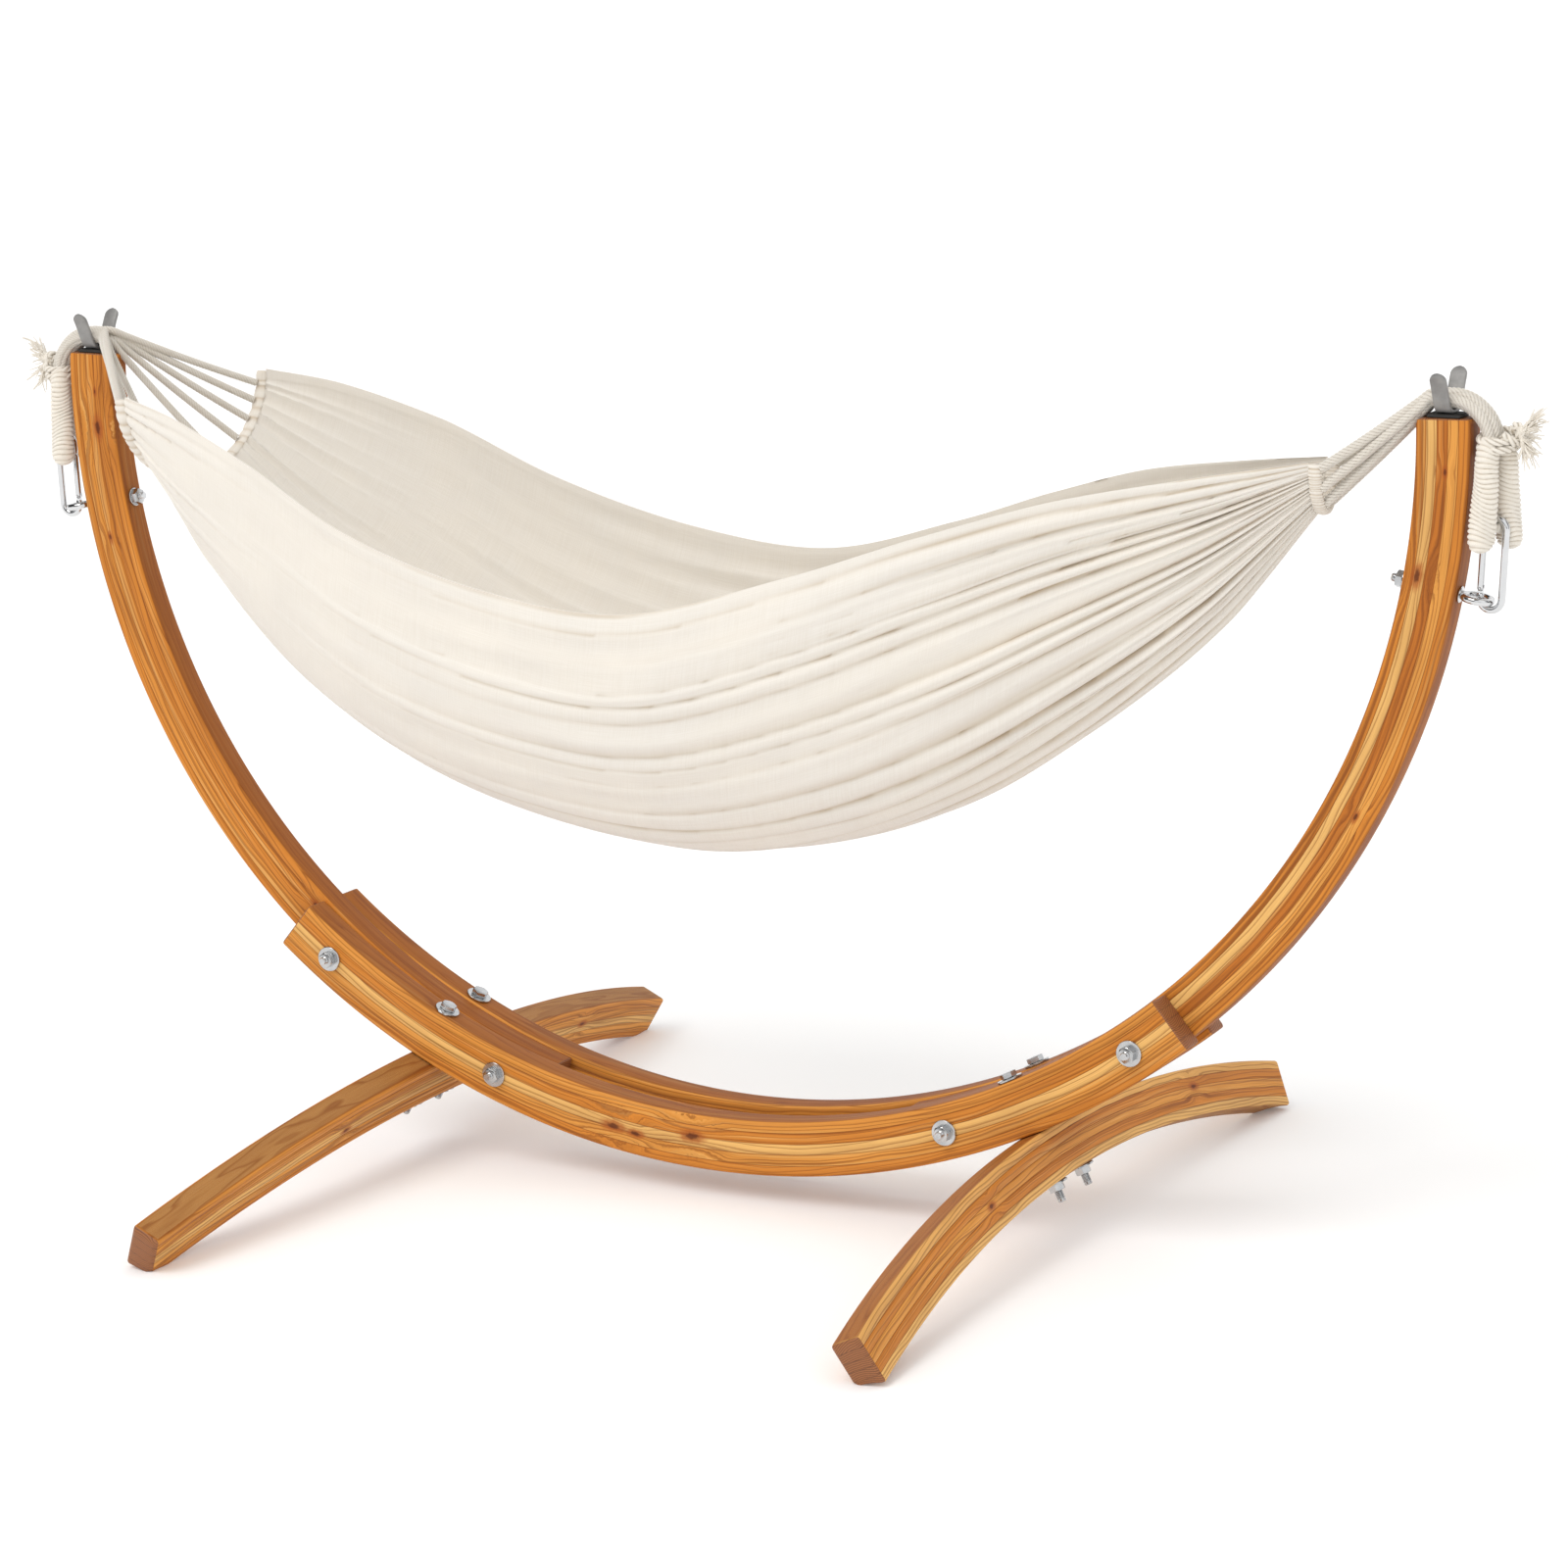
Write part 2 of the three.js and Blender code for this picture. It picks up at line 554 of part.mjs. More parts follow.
// One closed thin shell: the inner sheet, the outer sheet and the edge between them.
function clothBody(columns = 32, rows = 18) {
  const vertices = [];
  for (const way of [1, -1]) {
    for (let i = 0; i <= columns; i += 1) {
      for (let j = 0; j <= rows; j += 1) {
        const t = i / columns;
        const s = (2 * j) / rows - 1;
        const p = clothPoint(t, s).addScaledVector(clothNormal(t, s), (way * CLOTH_THICK) / 2);
        vertices.push(p.x, p.y, p.z);
      }
    }
  }
  const sheet = (columns + 1) * (rows + 1);
  const at = (layer, i, j) => layer * sheet + i * (rows + 1) + j;
  const faces = [];
  const quad = (a, b, c, d) => faces.push(a, b, c, a, c, d);
  for (let i = 0; i < columns; i += 1) {
    for (let j = 0; j < rows; j += 1) {
      quad(at(0, i, j), at(0, i + 1, j), at(0, i + 1, j + 1), at(0, i, j + 1));
      quad(at(1, i, j), at(1, i, j + 1), at(1, i + 1, j + 1), at(1, i + 1, j));
    }
    quad(at(0, i, 0), at(1, i, 0), at(1, i + 1, 0), at(0, i + 1, 0));
    quad(at(0, i, rows), at(0, i + 1, rows), at(1, i + 1, rows), at(1, i, rows));
  }
  for (let j = 0; j < rows; j += 1) {
    quad(at(0, 0, j), at(0, 0, j + 1), at(1, 0, j + 1), at(1, 0, j));
    quad(at(0, columns, j), at(1, columns, j), at(1, columns, j + 1), at(0, columns, j + 1));
  }
  const geometry = new THREE.BufferGeometry();
  geometry.setAttribute("position", new THREE.Float32BufferAttribute(vertices, 3));
  geometry.setIndex(faces);
  geometry.computeVertexNormals();
  return geometry;
}

// The sewn casing along each end of the cloth, just outside it.
function hemPoint(side, s) {
  const p = clothPoint(side < 0 ? 0 : 1, s);
  return p.add(vec(side * (CLOTH_THICK + 4), 0, 0));
}

function hemBody(side) {
  const points = [];
  for (let i = 0; i <= 10; i += 1) {
    points.push(hemPoint(side, -0.98 + 0.196 * i));
  }
  return tube(points, 5, 8, 16);
}

// The cords run together from the hook and fan out to the hem.
function cordsBody(side, count, diameter, crowd) {
  const hook = vec(side * (HOOK_X - GAP / 2), 0, SWING_Z);
  const bend = vec(side * (HOOK_X - 16), 0, SWING_Z);
  const pieces = [tube([hook, bend], BUNDLE / 2 - 0.5, 12, 2)];
  for (let i = 0; i < count; i += 1) {
    const u = count === 1 ? 0 : (2 * i) / (count - 1) - 1;
    const s = CORD_REACH * Math.sign(u) * Math.abs(u) ** crowd;
    const a = (s * Math.PI) / 2;
    const spread = (BUNDLE - diameter) / 2 - 1;
    const low = vec(0, spread * Math.sin(a), -spread * Math.cos(a) * 0.6);
    const end = hemPoint(side, s);
    const back = end.clone().sub(hook).normalize().multiplyScalar(5 + GAP + diameter * 0.4);
    const points = [
      vec(side * (HOOK_X - 12), 0, SWING_Z).add(low),
      vec(side * (HOOK_X - 28), 0, SWING_Z - 5).add(low),
      end.sub(back),
    ];
    pieces.push(tube(points, diameter / 2, 8, 5));
  }
  return joined(pieces);
}

// ---- assembly ----
const group = new THREE.Group();

function add(name, geometry, material) {
  const mesh = new THREE.Mesh(geometry, material);
  mesh.name = name;
  group.add(mesh);
}

// A piece modelled on the right, copied to the left by mirroring in X.
function mirrored(geometry) {
  const flat = geometry.index ? geometry.toNonIndexed() : geometry.clone();
  flat.scale(-1, 1, 1);
  const p = flat.attributes.position;
  for (let i = 0; i < p.count; i += 3) {
    const second = vec(p.getX(i + 1), p.getY(i + 1), p.getZ(i + 1));
    p.setXYZ(i + 1, p.getX(i + 2), p.getY(i + 2), p.getZ(i + 2));
    p.setXYZ(i + 2, second.x, second.y, second.z);
  }
  flat.computeVertexNormals();
  return flat;
}

function addPair(name, geometry, material) {
  add(`${name}_right`, geometry, material);
  add(`${name}_left`, mirrored(geometry), material);
}

addPair("arm", armBody(), LARCH);
add("rail_front", railBody(-RAIL_Y), LARCH);
add("rail_rear", railBody(RAIL_Y), LARCH);
add("foot_right", footBody(1), LARCH);
add("foot_left", footBody(-1), LARCH);

const PACK = RAIL_Y + RAIL_WIDTH / 2; // from the middle to the rails' outer faces
BOLT_ANGLES.forEach((angle, i) => {
  const name = ["outer", "inner"][i];
  const length = 2 * PACK + 2 * GAP + WASHER_THICK + NUT_HEIGHT + BOLT_STUB;
  addPair(`rail_bolt_${name}`, along(hexBolt(length), railPoint(angle, 0, PACK), vec(0, -1, 0)), ZINC);
  addPair(`rail_nut_${name}`, along(nutAndWasher(), railPoint(angle, 0, -PACK), vec(0, -1, 0)), ZINC);
});

const CLAMP = RAIL_DEPTH + GAP + FOOT_DEPTH; // rail and foot together

// How far a foot's underside drops at a distance from its middle, flats included.
function footSag(distance) {
  const radius = FOOT_RADIUS - FOOT_DEPTH / 2;
  const flat = radius * (1 - Math.cos(FOOT_END / FOOT_STEPS));
  return radius - Math.sqrt(radius ** 2 - distance ** 2) + flat;
}

for (const [name, y] of [["front", -RAIL_Y], ["rear", RAIL_Y]]) {
  const sag = footSag(Math.abs(y) + WASHER / 2);
  const length = CLAMP + sag + WASHER_THICK + NUT_HEIGHT + FOOT_BOLT_STUB;
  const head = railPoint(FOOT_ANGLE, -RAIL_DEPTH / 2 - 0.2, y);
  const foot = railPoint(FOOT_ANGLE, CLAMP + sag - RAIL_DEPTH / 2, y);
  addPair(`foot_bolt_${name}`, along(hexBolt(length), head, outward(FOOT_ANGLE)), ZINC);
  addPair(`foot_nut_${name}`, along(nutAndWasher(), foot, outward(FOOT_ANGLE)), ZINC);
}

addPair("hook_pad", padBody(HOOK_X), BLACK_RUBBER);
addPair("fork_hook", forkBody(HOOK_X), GREY_STEEL);
addPair("hook_screw", screwBody(HOOK_X), ZINC);
addPair("eye_bolt", eyeBoltBody(), ZINC);
const EYE_BACK = armPoint(EYE_ANGLE, -ARM_DEPTH / 2);
addPair("eye_nut", along(nutAndWasher(22), EYE_BACK, EYE_WAY.clone().negate()), ZINC);
addPair("snap_hook", snapBody(), ZINC);
addPair("snap_gate", gateBody(), ZINC);
addPair("rope_loop", loopBody(), COTTON_ROPE);
addPair("rope_tuft", tuftBody(), COTTON_ROPE);

add("cloth", clothBody(), COTTON_CLOTH);
add("hem_left", hemBody(-1), COTTON_CLOTH);
add("hem_right", hemBody(1), COTTON_CLOTH);
add("cords_left", cordsBody(-1, LEFT_CORDS, LEFT_CORD, LEFT_CROWD), COTTON_ROPE);
add("cords_right", cordsBody(1, RIGHT_CORDS, RIGHT_CORD, RIGHT_CROWD), COTTON_ROPE);

export default group;
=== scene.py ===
# The looks of a child's hammock on its arc stand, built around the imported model. Metres, +Z up.
import json
import math
import bpy
import numpy as np
from mathutils import Matrix, Vector


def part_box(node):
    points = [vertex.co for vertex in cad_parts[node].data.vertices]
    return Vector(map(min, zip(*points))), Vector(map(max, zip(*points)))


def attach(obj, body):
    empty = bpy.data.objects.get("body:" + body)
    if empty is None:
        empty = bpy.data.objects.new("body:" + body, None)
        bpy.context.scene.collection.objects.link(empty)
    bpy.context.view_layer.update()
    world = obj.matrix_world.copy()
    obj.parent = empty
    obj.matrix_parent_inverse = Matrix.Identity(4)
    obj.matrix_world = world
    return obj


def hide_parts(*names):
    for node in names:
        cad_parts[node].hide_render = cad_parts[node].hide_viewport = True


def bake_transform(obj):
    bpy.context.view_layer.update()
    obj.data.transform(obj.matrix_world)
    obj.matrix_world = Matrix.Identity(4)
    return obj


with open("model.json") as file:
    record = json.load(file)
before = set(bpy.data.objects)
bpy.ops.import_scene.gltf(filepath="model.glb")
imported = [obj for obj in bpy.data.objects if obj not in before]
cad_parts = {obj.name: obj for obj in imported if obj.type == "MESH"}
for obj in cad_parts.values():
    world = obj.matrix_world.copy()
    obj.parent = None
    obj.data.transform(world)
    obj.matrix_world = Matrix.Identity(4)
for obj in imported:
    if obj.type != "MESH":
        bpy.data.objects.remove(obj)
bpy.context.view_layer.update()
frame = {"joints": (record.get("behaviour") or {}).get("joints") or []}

# ---- driving sizes, as in the model's own source ----
ARM_RADIUS, ARM_DEPTH, ARM_WIDTH, ARM_SHIFT = 0.860, 0.060, 0.036, 0.006
ARM_LOW, ARM_TOP = 15.7, 91.7  # degrees from straight down
ARM_CHAMFER = 0.004
RAIL_RADIUS, RAIL_DEPTH, RAIL_WIDTH, RAIL_END = 0.900, 0.065, 0.036, 39.6
FOOT_RADIUS, FOOT_DEPTH, FOOT_WIDTH, FOOT_HALF_LENGTH = 2.100, 0.058, 0.036, 0.580
FOOT_ANGLE, EYE_ANGLE = 25.4, 79.5
GAP = 0.0003
BOLT, WASHER, WASHER_THICK = 0.010, 0.030, 0.0025
NUT_FLATS, NUT_HEIGHT, HEAD_HEIGHT = 0.017, 0.008, 0.0065
BOLT_STUB, FOOT_BOLT_STUB = 0.006, 0.014
BOLT_ANGLES = {"outer": 35.7, "inner": 19.3}
HOOK_WIDTH, HOOK_THICK, HOOK_REACH, HOOK_HEIGHT = 0.018, 0.004, 0.037, 0.046
PAD_THICK = 0.003
EYE_RING, EYE_WIRE, EYE_NECK = 0.015, 0.008, 0.005
SNAP_HALF, SNAP_WIRE, SADDLE = 0.012, 0.008, 0.012
LOOP_LEG, LOOP_DROP, LOOP_OUT = 0.028, 0.139, 0.024
CORD_SPAN, BED_HALF_WIDTH, BED_DROP = 0.145, 0.248, 0.560
LEFT_CORDS, LEFT_CORD, RIGHT_CORDS, RIGHT_CORD = 10, 0.009, 6, 0.011
CLOTH_FLAT = (0.95, 1.60)  # as it was cut, across and along

# Along the bed: place (-1 left hem, 1 right hem), half width, rim drop, belly drop.
BED_STATIONS = [
    (-1, 0.6, 0.1, 0.3),
    (-0.88, 0.72, 0.13, 0.54),
    (-0.7, 0.86, 0.21, 0.75),
    (-0.5, 0.96, 0.33, 0.89),
    (-0.25, 1, 0.42, 0.975),
    (0, 1, 0.45, 1),
    (0.25, 0.9, 0.37, 0.95),
    (0.45, 0.74, 0.285, 0.85),
    (0.65, 0.53, 0.21, 0.68),
    (0.85, 0.3, 0.165, 0.46),
    (1, 0.11, 0.137, 0.235),
]

# ---- frame of the stand ----
SWING_Z = next(j for j in frame["joints"] if j["name"] == "hammock_swing")["pos_m"][2]
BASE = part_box("rail_front")[0].z + RAIL_DEPTH / 2
RAIL_CENTRE = BASE + RAIL_RADIUS
ARM_CENTRE = BASE + ARM_RADIUS
RAIL_Y = ARM_WIDTH / 2 + GAP + RAIL_WIDTH / 2
PACK = RAIL_Y + RAIL_WIDTH / 2
FOOT_MIDDLE = RAIL_RADIUS + RAIL_DEPTH / 2 + GAP + FOOT_DEPTH / 2
FOOT_END = math.degrees(math.asin(FOOT_HALF_LENGTH / (FOOT_RADIUS + FOOT_DEPTH / 2)))
Y_AXIS = np.array([0.0, 1.0, 0.0])
Z_AXIS = np.array([0.0, 0.0, 1.0])
SQUARE = ((1, 1), (-1, 1), (-1, -1), (1, -1))  # a square's corners, in turn


def vec(x, y, z):
    return np.array([x, y, z], float)


def unit(v):
    return v / np.linalg.norm(v)


def link(piece):
    bpy.context.scene.collection.objects.link(piece)


def outward(angle):
    """The direction from the stand's arc centre, at an angle from straight down."""
    a = math.radians(angle)
    return vec(math.sin(a), 0, -math.cos(a))


def arm_point(angle, offset=0.0, y=0.0):
    return vec(ARM_SHIFT, y, ARM_CENTRE) + outward(angle) * (ARM_RADIUS + offset)


def rail_point(angle, offset=0.0, y=0.0):
    return vec(0, y, RAIL_CENTRE) + outward(angle) * (RAIL_RADIUS + offset)


HOOK_X = arm_point(ARM_TOP)[0]
ARM_TOP_Z = arm_point(ARM_TOP, ARM_DEPTH / 2)[2] + GAP
HOOK_Z = ARM_TOP_Z + PAD_THICK + GAP
HEM_X = HOOK_X - CORD_SPAN
LOOP_X = HOOK_X + ARM_DEPTH / 2 + LOOP_OUT
SADDLE_Z = SWING_Z - LOOP_DROP
LEG_WAY = unit(vec(0.43, 0.9, 0))  # the loop's two legs stand apart along this line


# ---- meshes ----
class Solid:
    """Vertices and faces gathered from closed bodies, with one vector per vertex for the material."""

    def __init__(self):
        self.points, self.marks, self.faces, self.count = [], [], [], 0

    def add(self, points, faces, marks=None):
        points = np.asarray(points, float)
        marks = np.zeros_like(points) if marks is None else np.asarray(marks, float)
        if volume(points, faces) < 0:
            faces = [tuple(reversed(f)) for f in faces]
        self.faces += [tuple(i + self.count for i in f) for f in faces]
        self.points.append(points)
        self.marks.append(marks)
        self.count += len(points)
        return self


def volume(points, faces):
    total = 0.0
    for size in {len(f) for f in faces}:
        p = points[np.array([f for f in faces if len(f) == size])]
        for k in range(1, size - 1):
            total += np.einsum("ij,ij->", p[:, 0], np.cross(p[:, k], p[:, k + 1]))
    return total


def mirrored(points):
    return points * np.array([-1.0, 1.0, 1.0])


def make(name, solid, material, body, replaces=(), mirror=False, sharp=40):
    """A Blender object from a Solid, riding on a body; an edge sharper than `sharp` degrees stays crisp."""
    points = np.concatenate(solid.points)
    faces = solid.faces
    if mirror:
        points, faces = mirrored(points), [tuple(reversed(f)) for f in faces]
    mesh = bpy.data.meshes.new(name)
    mesh.from_pydata(points.tolist(), [], faces)
    marks = mesh.attributes.new("mark", "FLOAT_VECTOR", "POINT")
    marks.data.foreach_set("vector", np.concatenate(solid.marks).astype(np.float32).ravel())
    mesh.shade_smooth()
    mesh.set_sharp_from_angle(angle=math.radians(sharp))
    for m in material if isinstance(material, list) else [material]:
        mesh.materials.append(m)
    piece = bpy.data.objects.new(name, mesh)
    link(piece)
    if replaces:
        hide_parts(*replaces)
    if body:
        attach(piece, body)
    return piece


def grid_faces(rows, columns, wrap_rows=False, wrap_columns=True):
    """Quads over a grid of rows of points, each row a loop unless wrap_columns is False."""
    i = np.arange(rows if wrap_rows else rows - 1)[:, None]
    j = np.arange(columns if wrap_columns else columns - 1)[None, :]
    i2, j2 = (i + 1) % rows, (j + 1) % columns
    quads = np.stack([i * columns + j, i * columns + j2, i2 * columns + j2, i2 * columns + j], -1)
    return [tuple(q) for q in quads.reshape(-1, 4).tolist()]


def capped(rings, sides):
    """Faces of a closed body made of rings of points, flat at both ends."""
    last = (rings - 1) * sides
    return grid_faces(rings, sides) + [tuple(range(sides - 1, -1, -1)), tuple(range(last, last + sides))]


def circle(sides):
    return np.linspace(0, 2 * math.pi, sides, endpoint=False)


def tangents(path):
    way = np.gradient(path, axis=0)
    return way / np.linalg.norm(way, axis=1)[:, None]


def run_length(points, axis=0):
    """The distance along lines of points, counted from each line's first point."""
    first = np.take(points, [0], axis)
    return np.cumsum(np.linalg.norm(np.diff(points, axis=axis, prepend=first), axis=-1), axis)


def sweep(path, sections, across, marks=None, closed=False):
    """A body along a path. sections is (stations, points, 2): along `across` and along the second normal."""
    path = np.asarray(path, float)
    if closed:
        tangent = np.roll(path, -1, 0) - np.roll(path, 1, 0)
        tangent /= np.linalg.norm(tangent, axis=1)[:, None]
    else:
        tangent = tangents(path)
    side = carried(tangent, across)
    up = np.cross(tangent, side)
    points = path[:, None] + sections[..., :1] * side[:, None] + sections[..., 1:] * up[:, None]
    stations, ring = points.shape[:2]
    faces = grid_faces(stations, ring, wrap_rows=True) if closed else capped(stations, ring)
    if marks is not None:
        marks = marks.reshape(-1, 3)
    return points.reshape(-1, 3), faces, marks


def carried(tangent, across):
    """One unit vector per station, square to the tangent, carried along without twisting."""
    side = np.empty_like(tangent)
    now = np.asarray(across, float)
    for i, t in enumerate(tangent):
        now = unit(now - t * now.dot(t))
        side[i] = now
    return side


def ring_section(stations, radius, sides):
    """Round sections; radius is one number or one per station."""
    a = circle(sides)
    r = np.broadcast_to(np.asarray(radius, float), (stations,))[:, None]
    return np.stack([r * np.cos(a), r * np.sin(a)], -1)


def tube(path, radius, across=Y_AXIS, sides=20, closed=False):
    return sweep(path, ring_section(len(path), radius, sides), across, closed=closed)


def round_ends(radius, length, steps=6):
    """Stations and radii of a bar with round ends: distances along it, and the radius at each."""
    a = np.linspace(0.15, math.pi / 2, steps)
    start = radius * (1 - np.cos(a))
    r = radius * np.sin(a)
    return np.concatenate([start, length - start[::-1]]), np.concatenate([r, r[::-1]])


def curve(points, count):
    """The centripetal Catmull-Rom curve through the points, at evenly spaced parameters from 0 to 1."""
    p = np.asarray(points, float)
    p = np.vstack([2 * p[0] - p[1], p, 2 * p[-1] - p[-2]])
    place = np.linspace(0, 1, count) * (len(p) - 3)
    i = np.minimum(place.astype(int), len(p) - 4)
    w = (place - i)[:, None]
    a, b, c, d = p[i], p[i + 1], p[i + 2], p[i + 3]
    ab, bc, cd = (np.sqrt(np.linalg.norm(q - r, axis=1))[:, None] for q, r in ((a, b), (b, c), (c, d)))
    t1 = ((b - a) / ab - (c - a) / (ab + bc) + (c - b) / bc) * bc
    t2 = ((c - b) / bc - (d - b) / (bc + cd) + (d - c) / cd) * bc
    return b + t1 * w + (3 * (c - b) - 2 * t1 - t2) * w**2 + (2 * (b - c) + t1 + t2) * w**3


def spaced(path, step):
    """The same line with its points a step apart, and the distance along it at each."""
    path = np.asarray(path, float)
    s = run_length(path)
    even = np.linspace(0, s[-1], max(2, int(s[-1] / step) + 1))
    return np.stack([np.interp(even, s, path[:, k]) for k in range(3)], 1), even


def turned(profile, sides=48, flats=None):
    """A body turned about Z from (radius, height) points; flats makes it six-sided, that far across."""
    a = circle(sides)
    limit = np.full(sides, np.inf)
    if flats:
        limit = flats / 2 / np.cos((a + math.pi / 6) % (math.pi / 3) - math.pi / 6)
    rings = []
    for radius, height in profile:
        r = np.minimum(radius, limit)
        rings.append(np.stack([r * np.cos(a), r * np.sin(a), np.full(sides, height)], 1))
    return np.concatenate(rings), capped(len(profile), sides)


def placed(body, origin, direction, turn=0.0):
    """A body built along +Z, set at a point along a direction."""
    z = unit(np.asarray(direction, float))
    x = unit(np.cross(Y_AXIS if abs(z[1]) < 0.9 else Z_AXIS, z))
    y = np.cross(z, x)
    c, s = math.cos(turn), math.sin(turn)
    points = body[0] @ np.stack([c * x + s * y, c * y - s * x, z]) + np.asarray(origin, float)
    return (points, *body[1:])


# ---- materials ----
class Nodes:
    """A node tree. An input is a number, a colour or another node's output."""

    def __init__(self, tree):
        self.tree = tree

    def new(self, kind):
        return self.tree.nodes.new("ShaderNode" + kind)

    def put(self, socket, value):
        if isinstance(value, bpy.types.NodeSocket):
            self.tree.links.new(value, socket)
        else:
            socket.default_value = value

    def fill(self, sockets, values):
        for socket, value in zip(sockets, values):
            self.put(socket, value)

    def math(self, operation, *values):
        node = self.new("Math")
        node.operation = operation
        self.fill(node.inputs, values)
        return node.outputs[0]

    def times(self, a, b):
        return self.math("MULTIPLY", a, b)

    def plus(self, a, b):
        return self.math("ADD", a, b)

    def scaled(self, value, by, plus):
        return self.math("MULTIPLY_ADD", value, by, plus)

    def mark(self):
        node = self.new("Attribute")
        node.attribute_name = "mark"
        return node.outputs["Vector"]

    def place(self, space="Object"):
        return self.new("TexCoord").outputs[space]

    def split(self, value):
        node = self.new("SeparateXYZ")
        self.put(node.inputs[0], value)
        return node.outputs

    def join(self, *values):
        node = self.new("CombineXYZ")
        self.fill(node.inputs, values)
        return node.outputs[0]

    def noise(self, vector, scale=1.0, detail=2.0, roughness=0.5):
        node = self.new("TexNoise")
        names = ("Vector", "Scale", "Detail", "Roughness")
        self.fill([node.inputs[name] for name in names], (vector, scale, detail, roughness))
        return node.outputs[0]

    def drawn_out(self, *axes, detail=2.0, roughness=0.5):
        """Noise with its own scale along each axis, given as (value, scale) or as a fixed place."""
        place = [self.times(*axis) if isinstance(axis, tuple) else axis for axis in axes]
        return self.noise(self.join(*place), 1.0, detail, roughness)

    def white(self, value):
        node = self.new("TexWhiteNoise")
        node.noise_dimensions = "1D"
        self.put(node.inputs["W"], value)
        return node.outputs[0]

    def mix(self, share, a, b, kind="RGBA"):
        node = self.new("Mix")
        node.data_type = kind
        first, output = (6, 2) if kind == "RGBA" else (2, 0)
        self.fill((node.inputs[0], node.inputs[first], node.inputs[first + 1]), (share, a, b))
        return node.outputs[output]

    def tint(self, colour, value, span, tint):
        """The colour with a tint over it, as strong as the value's span says."""
        return self.mix(self.span(value, *span), colour, tint)

    def ramp(self, value, stops, smooth=True):
        node = self.new("ValToRGB")
        ramp = node.color_ramp
        ramp.interpolation = "EASE" if smooth else "LINEAR"
        while len(ramp.elements) < len(stops):
            ramp.elements.new(0.5)
        for element, (at, colour) in zip(ramp.elements, stops):
            element.position = at
            element.color = colour if isinstance(colour, tuple) else (colour, colour, colour, 1)
        self.put(node.inputs[0], value)
        return node.outputs[0]

    def span(self, value, low, high, to_low=0.0, to_high=1.0, smooth=True):
        """The value mapped from low..high to to_low..to_high, and held at the ends."""
        node = self.new("MapRange")
        node.interpolation_type = "SMOOTHSTEP" if smooth else "LINEAR"
        self.fill(node.inputs, (value, low, high, to_low, to_high))
        return node.outputs[0]

    def bump(self, height, distance, strength=1.0):
        node = self.new("Bump")
        names = ("Strength", "Distance", "Height")
        self.fill([node.inputs[name] for name in names], (strength, distance, height))
        return node.outputs[0]


class Shader(Nodes):
    """A material with one principled surface."""

    def __init__(self, name):
        self.material = bpy.data.materials.new(name)
        self.material.use_nodes = True
        super().__init__(self.material.node_tree)
        self.tree.nodes.clear()
        self.surface = self.new("BsdfPrincipled")
        self.tree.links.new(self.surface.outputs[0], self.new("OutputMaterial").inputs["Surface"])

    def finish(self, **values):
        for name, value in values.items():
            self.put(self.surface.inputs[SURFACE_INPUTS[name]], value)
        return self.material


SURFACE_INPUTS = {
    "base": "Base Color",
    "metallic": "Metallic",
    "roughness": "Roughness",
    "normal": "Normal",
    "coat": "Coat Weight",
    "coat_roughness": "Coat Roughness",
    "sheen": "Sheen Weight",
    "sheen_roughness": "Sheen Roughness",
    "specular": "Specular IOR Level",
    "glow": "Emission Color",
    "glow_strength": "Emission Strength",
}


def rgb(r, g, b):
    return (r, g, b, 1.0)


CREAM_WOOD = rgb(0.86, 0.50, 0.16)
LIGHT_WOOD = rgb(0.77, 0.325, 0.058)
ORANGE_WOOD = rgb(0.66, 0.235, 0.031)
DEEP_WOOD = rgb(0.56, 0.175, 0.021)
RED_WOOD = rgb(0.20, 0.050, 0.008)
FIBRE_WOOD = rgb(0.16, 0.055, 0.016)
KNOT_RIM = rgb(0.36, 0.085, 0.014)
KNOT_WOOD = rgb(0.10, 0.022, 0.006)
END_LIGHT = rgb(0.42, 0.155, 0.044)
END_DARK = rgb(0.13, 0.036, 0.012)
END_GLUE = rgb(0.09, 0.03, 0.01)
END_PORE = rgb(0.10, 0.034, 0.012)
LAYERS = 5
SIDE_RINGS = 170.0  # growth lines in a metre across a sawn face
END_RINGS = 420.0  # and across the end grain


def wood_layers(s, radial, depth):
    """The number of the layer, and how far from the layer's middle, where 0.5 is the glue line."""
    place = s.scaled(radial, LAYERS / depth, LAYERS / 2)
    away = s.math("ABSOLUTE", s.math("SUBTRACT", s.math("FRACT", place), 0.5))
    return s.math("FLOOR", place), away


